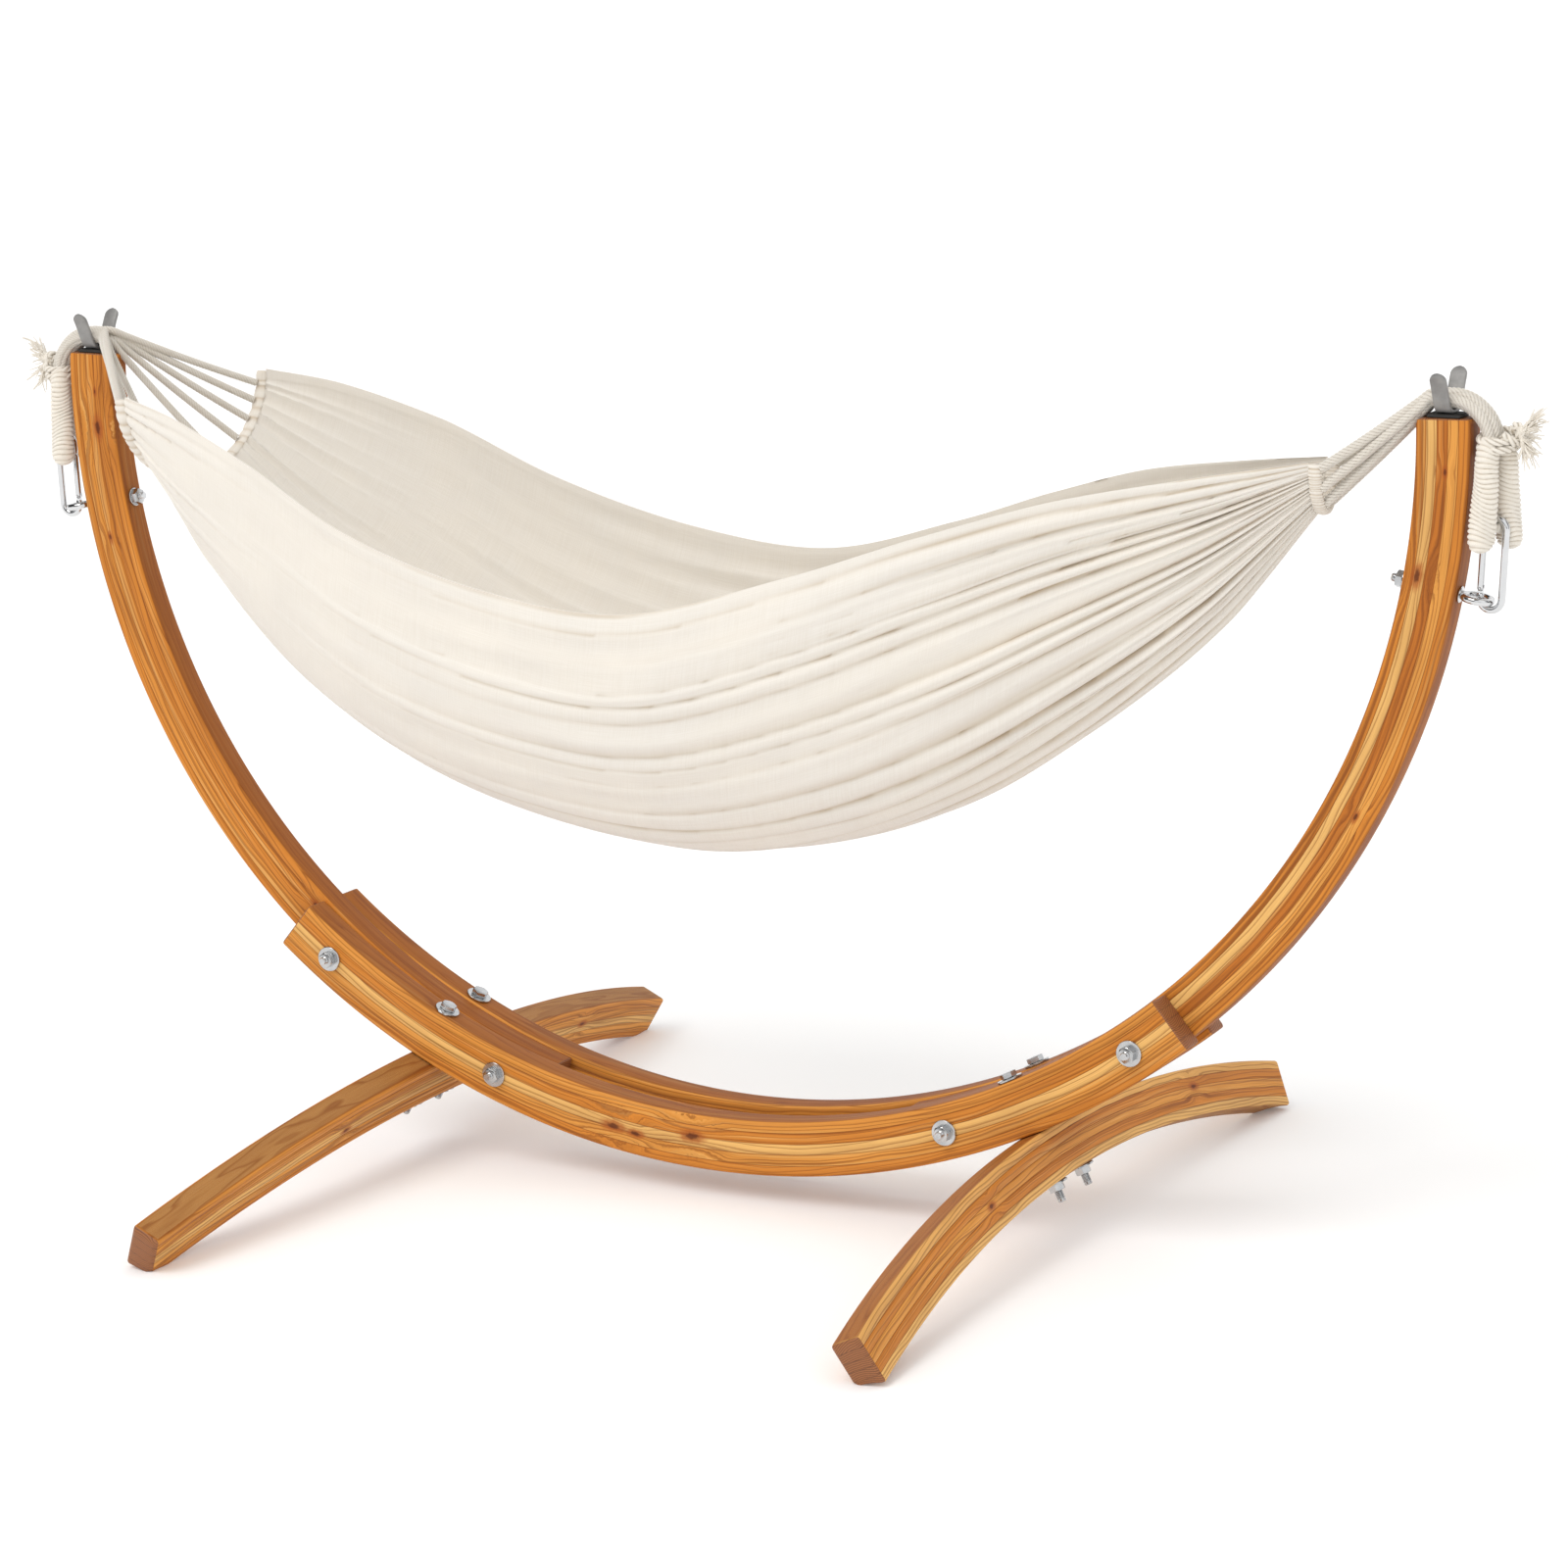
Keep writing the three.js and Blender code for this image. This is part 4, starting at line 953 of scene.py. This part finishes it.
def subtract(piece, cutter):
    cut = piece.modifiers.new("cut", "BOOLEAN")
    cut.operation, cut.solver, cut.object = "DIFFERENCE", "EXACT", cutter
    seen = piece.evaluated_get(bpy.context.evaluated_depsgraph_get())
    mesh = bpy.data.meshes.new_from_object(seen)
    piece.modifiers.remove(cut)
    piece.data = mesh
    bpy.data.objects.remove(cutter)


# ---- bed ----
STATIONS = np.array(BED_STATIONS, float)


def bed_sections(t):
    """Place, half width, rim height and belly height of the bed at an array of t from 0 to 1."""
    columns = []
    for k in (1, 2, 3):
        points = np.stack([STATIONS[:, 0], STATIONS[:, k], 0 * STATIONS[:, 0]], 1)
        fine = curve(points, 2001)
        even = np.linspace(0, 1, 2001)
        columns.append(np.interp(t, even, fine[:, 1]))
        if k == 1:
            place = np.interp(t, even, fine[:, 0])
    half, rim, belly = columns
    return place * HEM_X, half * BED_HALF_WIDTH, SWING_Z - rim * BED_DROP, SWING_Z - belly * BED_DROP


def cloth_grid(t, s):
    """Points of the cloth's middle surface on the grid of t by s, s from -1 (front rim) to 1."""
    x, half, rim, belly = (column[:, None] for column in bed_sections(t))
    a = s[None, :] * math.pi / 2
    return np.stack([x + 0 * a, half * np.sin(a), rim - (rim - belly) * np.cos(a)], -1)


def hem_point(side, s):
    p = cloth_grid(np.array([0.0 if side < 0 else 1.0]), np.atleast_1d(s))[0]
    return p + np.array([side * HEM_OUT, 0, 0])


def step_up(value, low, high):
    x = np.clip((value - low) / (high - low), 0, 1)
    return x * x * (3 - 2 * x)


def folds(t, q, count, seed, reach, sharpness, rise=0.28):
    """Pleats side by side across the cloth, from about -0.5 to 0.5, steeper on one side.
    t runs along the cloth from its smooth part (0) to its gathered end (1), and q across it. Each pleat
    starts somewhere in reach and takes the length rise to reach its own height."""
    rng = np.random.default_rng(seed)
    edges = np.concatenate([[0], np.cumsum(rng.uniform(0.5, 1.5, count))])
    edges /= edges[-1]
    start = rng.uniform(*reach, count)
    height = rng.uniform(0.6, 1.15, count)
    sway = rng.uniform(-1, 1, 3)
    drift = q + 0.010 * np.sin(4.1 * t + 9 * q + 3 * sway[0]) * (1 - t)
    drift = np.clip(drift + 0.006 * np.sin(11 * t + 5 * q + sway[1]), 0, 0.99999)
    i = np.clip(np.searchsorted(edges, drift, side="right") - 1, 0, count - 1)
    local = (drift - edges[i]) / (edges[i + 1] - edges[i])
    grown = step_up(t, start[i], start[i] + rise)
    ridge = np.sin(math.pi * local**0.62) ** sharpness
    return (ridge - 0.55) * height[i] * grown


def soft_noise(t, q, seed, scale_t, scale_q, terms=14):
    """A smooth random field between about -1 and 1, from a few seeded waves."""
    rng = np.random.default_rng(seed)
    total = 0 * t
    for _ in range(terms):
        way = rng.normal(0, 1, 2)
        total = total + np.sin(2 * math.pi * (way[0] * t * scale_t + way[1] * q * scale_q + rng.uniform()))
    return total / math.sqrt(terms)


BROAD_PLEATS, BROAD_SEED = 26, 11  # these run out into the bed from the right
FINE_PLEATS, FINE_SEED = 46, 5  # close to the right hem
LEFT_PLEATS, LEFT_SEED = 30, 3  # close to the left hem
CLOTH_HALF, SELVEDGE = 0.0006, 0.0007  # half the cloth's thickness, and what a folded edge adds


def build_cloth():
    columns, rows = ((300, 320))
    t, s = np.linspace(0, 1, columns), np.linspace(-1, 1, rows)
    base = cloth_grid(t, s)
    along = np.gradient(base, axis=0)
    across = np.gradient(base, axis=1)
    normal = np.cross(across, along)
    normal /= np.linalg.norm(normal, axis=2)[..., None]
    girth = run_length(base, 1)
    full = girth[:, -1:]
    q = girth / full
    tt = np.broadcast_to(t[:, None], q.shape)
    spare = np.maximum(CLOTH_FLAT[0] / full - 1, 0.0)

    def depth(count):
        """How high that many pleats can stand with the cloth there is to spare."""
        pitch = full / count
        return np.minimum(0.62 * pitch, pitch / math.pi * np.sqrt(spare) * 1.5)

    broad = folds(tt, q, BROAD_PLEATS, BROAD_SEED, (0.08, 0.46), 0.8, rise=0.42)
    fine = folds(tt, q, FINE_PLEATS, FINE_SEED, (0.48, 0.80), 0.7)
    left = folds(1 - tt, q, LEFT_PLEATS, LEFT_SEED, (0.70, 0.9), 0.8)
    raise_by = 1.25 * depth(BROAD_PLEATS) * broad + depth(FINE_PLEATS) * fine
    raise_by += 0.8 * depth(LEFT_PLEATS) * left
    from_edge = np.minimum(q, 1 - q) * full
    rim_calm = step_up(from_edge, 0.0, 0.03)
    middle = step_up(tt, 0.03, 0.2) * (1 - step_up(tt, 0.8, 0.97))
    sag = 0.0030 * soft_noise(tt, q, 21, 1.3, 2.4) * middle
    crease = 0.0016 * soft_noise(tt, q, 8, 3.0, 11.0) * middle * step_up(tt, 0.1, 0.5)
    raise_by = raise_by * (0.35 + 0.65 * rim_calm) + (sag + crease) * rim_calm
    thick = CLOTH_HALF + SELVEDGE * (1 - step_up(from_edge, 0.011, 0.013))
    outer = base + normal * (raise_by + thick)[..., None]
    inner = base + normal * (raise_by - thick)[..., None]
    # Painted shade for the material: light on the pleats' ridges, dark in their grooves, and darker overall
    # toward the gathered right end; the inside of the cloth takes it turned over.
    fold_shade = 0.62 + 0.85 * broad + 0.85 * fine + 0.4 * left - 0.16 * step_up(tt, 0.55, 0.95)
    length = run_length(base)
    flat_across = q * CLOTH_FLAT[0]
    mark = np.stack([length, flat_across, np.clip(fold_shade, 0, 1)], -1)
    inside = np.stack([length, flat_across, np.clip(1.1 - 0.6 * fold_shade, 0, 1)], -1)
    points = np.concatenate([outer.reshape(-1, 3), inner.reshape(-1, 3)])
    faces = grid_faces(columns, rows, wrap_columns=False)
    sheet = columns * rows
    faces += [tuple(i + sheet for i in reversed(f)) for f in faces]
    rim = [i * rows for i in range(columns)] + [(columns - 1) * rows + j for j in range(1, rows)]
    rim += [i * rows + rows - 1 for i in range(columns - 2, -1, -1)] + [j for j in range(rows - 2, 0, -1)]
    for a, b in zip(rim, rim[1:] + rim[:1]):
        faces.append((b, a, a + sheet, b + sheet))
    marks = np.concatenate([mark.reshape(-1, 3), inside.reshape(-1, 3)])
    solid = Solid().add(points, faces, marks)
    return make("cloth_sheet", solid, CLOTH, "hammock", ["cloth"], sharp=75)


HEM_THREADS = 0.03  # the cloth that goes round the casing, for the weave
HEM_OUT = 0.007  # from the cloth's edge to the casing's middle
HEM_RADIUS, HEM_GATHER, HEM_WIDER = 0.0038, 0.0010, 1.9


def build_hem(side):
    """The sewn casing that the cords come out of, gathered in step with the cloth."""
    s = np.linspace(-0.985, 0.985, 220)
    line = hem_point(side, s)
    count, seed = (FINE_PLEATS, FINE_SEED) if side > 0 else (LEFT_PLEATS, LEFT_SEED)
    q = (s + 1) / 2
    ridge = folds(np.ones_like(q), q, count, seed, (0.0, 0.1), 0.7) + 0.5
    sides = 18
    end = np.minimum(1, np.sqrt(np.maximum(1 - (1 - np.minimum(q, 1 - q) / 0.02).clip(0) ** 2, 0.05)))
    radius = (HEM_RADIUS + HEM_GATHER * (ridge - 0.5)) * end
    girth = run_length(line)
    sections = ring_section(len(line), radius, sides)
    sections[..., 0] *= HEM_WIDER
    # The third mark paints shade into the casing's gathers: darker in their valleys, lighter on their ridges.
    a = np.linspace(0, HEM_THREADS, sides, endpoint=False)
    marks = np.stack([np.broadcast_to(a, (len(line), sides)), np.repeat(girth[:, None], sides, 1),
                      np.repeat((0.10 + 0.6 * ridge)[:, None], sides, 1)], -1)
    name = "hem_right" if side > 0 else "hem_left"
    solid = Solid().add(*sweep(line, sections, vec(1, 0, 0), marks))
    return make(name + "_casing", solid, CLOTH, "hammock", [name], sharp=75)


# ---- ropes ----
YARNS = 6.4  # seen across one strand


def strand_section(even, diameter, turns_per_metre, strands, phase):
    """Sections of a twisted rope turning along its path, and the material's marks."""
    radius = diameter / 2
    sides = 10 * strands if strands < 5 else 7 * strands
    a = circle(sides)[None, :]
    even = even[:, None]
    turn = 2 * math.pi * turns_per_metre * even + phase
    share = 2 * math.pi / strands
    local = (a - turn + share / 2) % share - share / 2
    middle = radius / (1 + 1.08 * math.sin(share / 2))
    strand = radius - middle
    edge = middle * np.cos(local) + np.sqrt(np.maximum(strand**2 - (middle * np.sin(local)) ** 2, 0))
    low = middle * math.cos(share / 2) + math.sqrt(strand**2 - (middle * math.sin(share / 2)) ** 2)
    # Height above the groove between strands, which the rope material turns into painted shade.
    height = (edge - low) / (radius - low)
    sections = np.stack([edge * np.cos(a), edge * np.sin(a)], -1)
    yarn = YARNS * local / share + even / (diameter * 0.30)
    return sections, np.stack([yarn, np.repeat(even, sides, 1), height], -1)


def rope(path, diameter, across, pitch=2.7, phase=0.0, strands=6):
    """A twisted rope along a path, as a body with marks. The pitch is in diameters."""
    line, even = spaced(path, diameter * (0.16))
    line = smoothed(line)
    sections, marks = strand_section(even, diameter, 1 / (pitch * diameter), strands, phase)
    return sweep(line, sections, across, marks), line


def smoothed(line, rounds=2):
    out = line.copy()
    for _ in range(rounds):
        out[1:-1] = (out[:-2] + 2 * out[1:-1] + out[2:]) / 4
    return out


# The bundle's middle line over the hook, from where the cords meet to the knot.
BUNDLE_LINE = [(-0.016, 0.0), (0.0, 0.0), (0.009, 0.0), (0.0192, -0.002), (0.033, -0.009), (0.047, -0.024),
               (0.054, -0.042), (0.054, -0.052)]


def bundle_path(offset_y, offset_up):
    """One cord's share of the bundle, kept at its own place around the middle line."""
    middle = np.array([(HOOK_X + x, 0.0, SWING_Z + z) for x, z in BUNDLE_LINE])
    fine = curve(middle, 60)
    up = np.cross(tangents(fine), -Y_AXIS)
    up[up[:, 2] + up[:, 0] < 0] *= -1
    return fine + Y_AXIS * offset_y + up * offset_up


# Where the cords leave the hem, as in the model: the outermost one's share of the hem's half length,
# and how much they crowd toward its ends.
CORD_REACH = 0.89
CORD_CROWD = {"left": 0.6, "right": 0.75}
BUNDLE_WRAP = 150  # degrees each way that the cords take up around the bundle
RIGHT_RING, LEFT_RING = 0.0088, 0.0112  # from the bundle's middle to the cords' middles


def build_cords(side, count, diameter, ring):
    name = "right" if side > 0 else "left"
    hook = vec(HOOK_X, 0, SWING_Z)
    for i in range(count):
        u = 2 * i / (count - 1) - 1
        s = CORD_REACH * math.copysign(abs(u) ** CORD_CROWD[name], u)
        turn = math.radians(BUNDLE_WRAP * u)
        over = bundle_path(1.25 * ring * math.sin(turn), -0.0035 - 0.6 * ring * math.cos(turn))
        end = hem_point(1, s)[0] if side > 0 else mirrored(hem_point(-1, s)[0])
        end = end - unit(end - hook) * (0.0030 + 0.4 * diameter)
        start = over[0]
        span = np.linspace(0, 1, 12)[:, None]
        straight = end + (start - end) * span[:-1]
        length = np.linalg.norm(start - end)
        droop = 0.010 * length * np.sin(math.pi * span[:-1])
        straight = straight - droop * Z_AXIS
        path = curve(np.vstack([straight[::2], over[::6], over[-1:]]), 160)
        if side < 0:
            path = mirrored(path)
        body, line = rope(path, diameter, Y_AXIS, phase=1.7 * i)
        piece = make(f"cord_{name}_{i + 1}", Solid().add(*body), ROPE, None,
                     [f"cords_{name}"], sharp=80)
        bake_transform(piece)
        length = float(np.linalg.norm(np.diff(line, axis=0), axis=1).sum())


WHIP = 0.0050  # one turn of the whipping cord


def whipped(path, radius, phase=0.0):
    """A rope leg wound tightly with thin cord, round at both ends."""
    line, even = spaced(path, WHIP / (7))
    line = smoothed(line, 6)
    sides = 40
    length = even[-1]
    even = even[:, None]
    a = circle(sides)[None, :]
    wobble = 0.62 * np.sin(a + 1.3 + phase + even / 0.05) + 0.32 * np.sin(even / 0.013 + 2 * a + phase)
    turn = even / WHIP + a / (2 * math.pi) + wobble
    ridge = np.abs(np.sin(math.pi * turn)) ** 0.75
    near = np.minimum(even, length - even)
    end = np.sqrt(np.maximum(1 - (1 - np.minimum(near / radius, 1)) ** 2, 0.02))
    bulge = (0.88 + 0.17 * even / length) * (1 + 0.035 * np.sin(even / 0.016 + phase + 2 * a))
    r = (radius * bulge - 0.0020) * end + 0.0024 * ridge * np.minimum(1, end * 1.2)
    sections = np.stack([r * np.cos(a), r * np.sin(a)], -1)
    yarn = a / (2 * math.pi) * 44 + even / WHIP * 1.2
    # The third mark paints shade into the dips between the turns of the whipping cord.
    marks = np.stack([yarn, np.repeat(even, sides, 1), 0.15 + 0.85 * ridge], -1)
    return sweep(line, sections, Y_AXIS, marks)


def leg_point(offset, z):
    return vec(LOOP_X, 0, z) + LEG_WAY * offset


def build_loop():
    """The whipped end loop: two legs that meet in the snap hook, and the knot that holds them."""
    solid = Solid()
    for way in (-1, 1):
        leg = [leg_point(way * offset, SWING_Z - share * LOOP_DROP) for offset, share in (
            (0.0060, 0.29), (0.0135, 0.45), (0.0150, 0.68), (0.0185, 0.90), (0.0205, 1.09), (0.0180, 1.17))]
        solid.add(*whipped(curve(leg, 120), LOOP_LEG / 2, 1.0 + way))
    saddle = curve([leg_point(o, SADDLE_Z + dz) for o, dz in
                    ((-0.019, -0.004), (-0.01, 0.0), (0, 0.0008), (0.01, 0.0), (0.019, -0.004))], 60)
    solid.add(*whipped(saddle, SADDLE / 2, 0.4))
    knot_z = SWING_Z - 0.30 * LOOP_DROP
    a = np.linspace(0, 2 * math.pi * 2.6, 150)
    coil = np.stack([LOOP_X + 0.0175 * np.cos(a), 0.0185 * np.sin(a),
                     knot_z + 0.004 - 0.0085 * a / (2 * math.pi) + 0.003 * np.sin(a + 0.6)], 1)
    coil_body, _ = rope(coil, 0.0085, Z_AXIS, pitch=3.0, strands=3)
    solid.add(*coil_body)
    twist = curve([(LOOP_X + 0.010, -0.012, knot_z + 0.004), (LOOP_X + 0.018, -0.008, knot_z - 0.004),
                   (LOOP_X + 0.021, 0.004, knot_z - 0.006), (LOOP_X + 0.016, 0.012, knot_z + 0.004),
                   (LOOP_X + 0.019, 0.006, knot_z + 0.012), (LOOP_X + 0.027, 0.004, knot_z + 0.005)], 80)
    twist_body, _ = rope(twist, 0.0095, Z_AXIS, pitch=3.0, phase=1.0, strands=3)
    solid.add(*twist_body)
    both_sides("rope_loop", solid, ROPE, sharp=80)


TUFT_YARNS, QUICK_YARNS, THICK_YARNS = 100, 40, 30


def build_tuft():
    """The frayed end of the tying rope: loose yarns that fan out and curl."""
    rng = np.random.default_rng(40)
    solid = Solid()
    start = vec(LOOP_X + 0.024, 0.004, SWING_Z - 0.27 * LOOP_DROP)
    rise, hang = unit(vec(0.85, 0.05, 0.6)), unit(vec(0.45, 0.1, -0.85))
    side = unit(np.cross(rise + hang, Y_AXIS))
    for k in range(TUFT_YARNS):
        a, r = rng.uniform(0, 2 * math.pi), math.sqrt(rng.uniform(0, 1))
        out = math.cos(a) * side + math.sin(a) * Y_AXIS
        way = hang if k % 5 > 1 else rise
        length = rng.uniform(0.016, 0.030)
        lean = rng.uniform(0.15, 0.55) * r
        curl = rng.normal(0, 0.0032, 3)
        points = [start + out * r * 0.0038 - way * 0.004,
                  start + out * r * 0.0046 + way * 0.002,
                  start + out * (r * 0.005 + lean * length * 0.4) + way * length * 0.45,
                  start + out * (r * 0.005 + lean * length * 0.85) + way * length * 0.8 + curl,
                  start + out * (r * 0.005 + lean * length) + way * length + curl * 1.8]
        path = curve(points, 16)
        radius = rng.uniform(0.0007, 0.0011) * (1.7 if k < THICK_YARNS else 1) * np.linspace(1.15, 0.6, 16)
        body = tube(path, radius, Y_AXIS if abs(out[1]) < 0.9 else Z_AXIS, 6)
        marks = np.stack([np.linspace(0, 12, len(body[0])), np.zeros(len(body[0])),
                          np.full(len(body[0]), rng.uniform(0.55, 1.0))], 1)
        solid.add(body[0], body[1], marks)
    both_sides("rope_tuft", solid, ROPE, sharp=80)


# ---- studio ----
FLOOR_HALF = 80.0


def build_floor():
    mesh = bpy.data.meshes.new("floor")
    mesh.from_pydata([(x * FLOOR_HALF, y * FLOOR_HALF, 0) for x, y in SQUARE], [], [(0, 1, 2, 3)])
    mesh.materials.append(Shader("pale_floor").finish(
        base=rgb(0.92, 0.92, 0.92), roughness=0.9, specular=0.1, glow=rgb(1, 1, 1), glow_strength=0.09))
    floor = bpy.data.objects.new("floor", mesh)
    link(floor)


ZENITH_LIGHT = 0.88
SUN_LIGHT, SUN_SOFT, SUN_WAY = 1.05, 35, (0.30, 0.75, -1.0)


def build_light():
    world = bpy.data.worlds.new("studio")
    bpy.context.scene.world = world
    world.use_nodes = True
    s = Nodes(world.node_tree)
    background = world.node_tree.nodes["Background"]
    direction = s.place("Generated")
    # Metal sees bright panels between darker gaps. The rest sees a white room, a little dimmer overhead.
    panels = s.span(s.noise(direction, 1.1, 0.0), 0.44, 0.60, 0.04, 1.10, smooth=False)
    room = s.span(s.split(direction)[2], 0.1, 1.0, 1.0, ZENITH_LIGHT, smooth=False)
    glossy = s.new("LightPath").outputs["Is Glossy Ray"]
    s.fill([background.inputs[name] for name in ("Color", "Strength")],
           (rgb(1, 1, 1), s.mix(glossy, room, panels, "FLOAT")))
    sun = bpy.data.lights.new("sun", "SUN")
    sun.energy, sun.angle, sun.color = SUN_LIGHT, math.radians(SUN_SOFT), (1.0, 0.985, 0.96)
    lamp = bpy.data.objects.new("sun", sun)
    lamp.rotation_euler = Vector(SUN_WAY).to_track_quat("-Z", "Y").to_euler()
    link(lamp)
    bpy.context.scene.view_settings.view_transform = "Standard"


CAMERA_TURN = (27.83, 12.06, -0.98)  # azimuth, elevation and roll
CAMERA_PLACE = (2.480, -4.563, 1.5905)
CAMERA_LENS, CAMERA_SENSOR = 105.5, 36.0


def build_camera():
    """Nearly level from the front right, with a long lens."""
    azimuth, elevation, roll = (math.radians(a) for a in CAMERA_TURN)
    back = vec(math.sin(azimuth) * math.cos(elevation), -math.cos(azimuth) * math.cos(elevation),
               math.sin(elevation))
    right = vec(math.cos(azimuth), math.sin(azimuth), 0)
    up = np.cross(back, right)
    x = right * math.cos(roll) + up * math.sin(roll)
    y = up * math.cos(roll) - right * math.sin(roll)
    camera = bpy.data.objects.new("camera", bpy.data.cameras.new("camera"))
    camera.data.lens, camera.data.sensor_width = CAMERA_LENS, CAMERA_SENSOR
    camera.data.clip_end = 200
    turn = np.eye(4)
    turn[:3, 0], turn[:3, 1], turn[:3, 2], turn[:3, 3] = x, y, back, CAMERA_PLACE
    camera.matrix_world = Matrix(turn.tolist())
    link(camera)
    bpy.context.scene.camera = camera


build_camera()
build_floor()
build_light()
build_cords(1, RIGHT_CORDS, RIGHT_CORD, RIGHT_RING)
build_cords(-1, LEFT_CORDS, LEFT_CORD, LEFT_RING)
build_loop()
build_tuft()
sheet = build_cloth()
hems = [build_hem(-1), build_hem(1)]
build_wood()
build_fasteners()
build_fork()
build_screw_and_pad()
build_eye_bolt()
build_snap_hook()
build_gate()
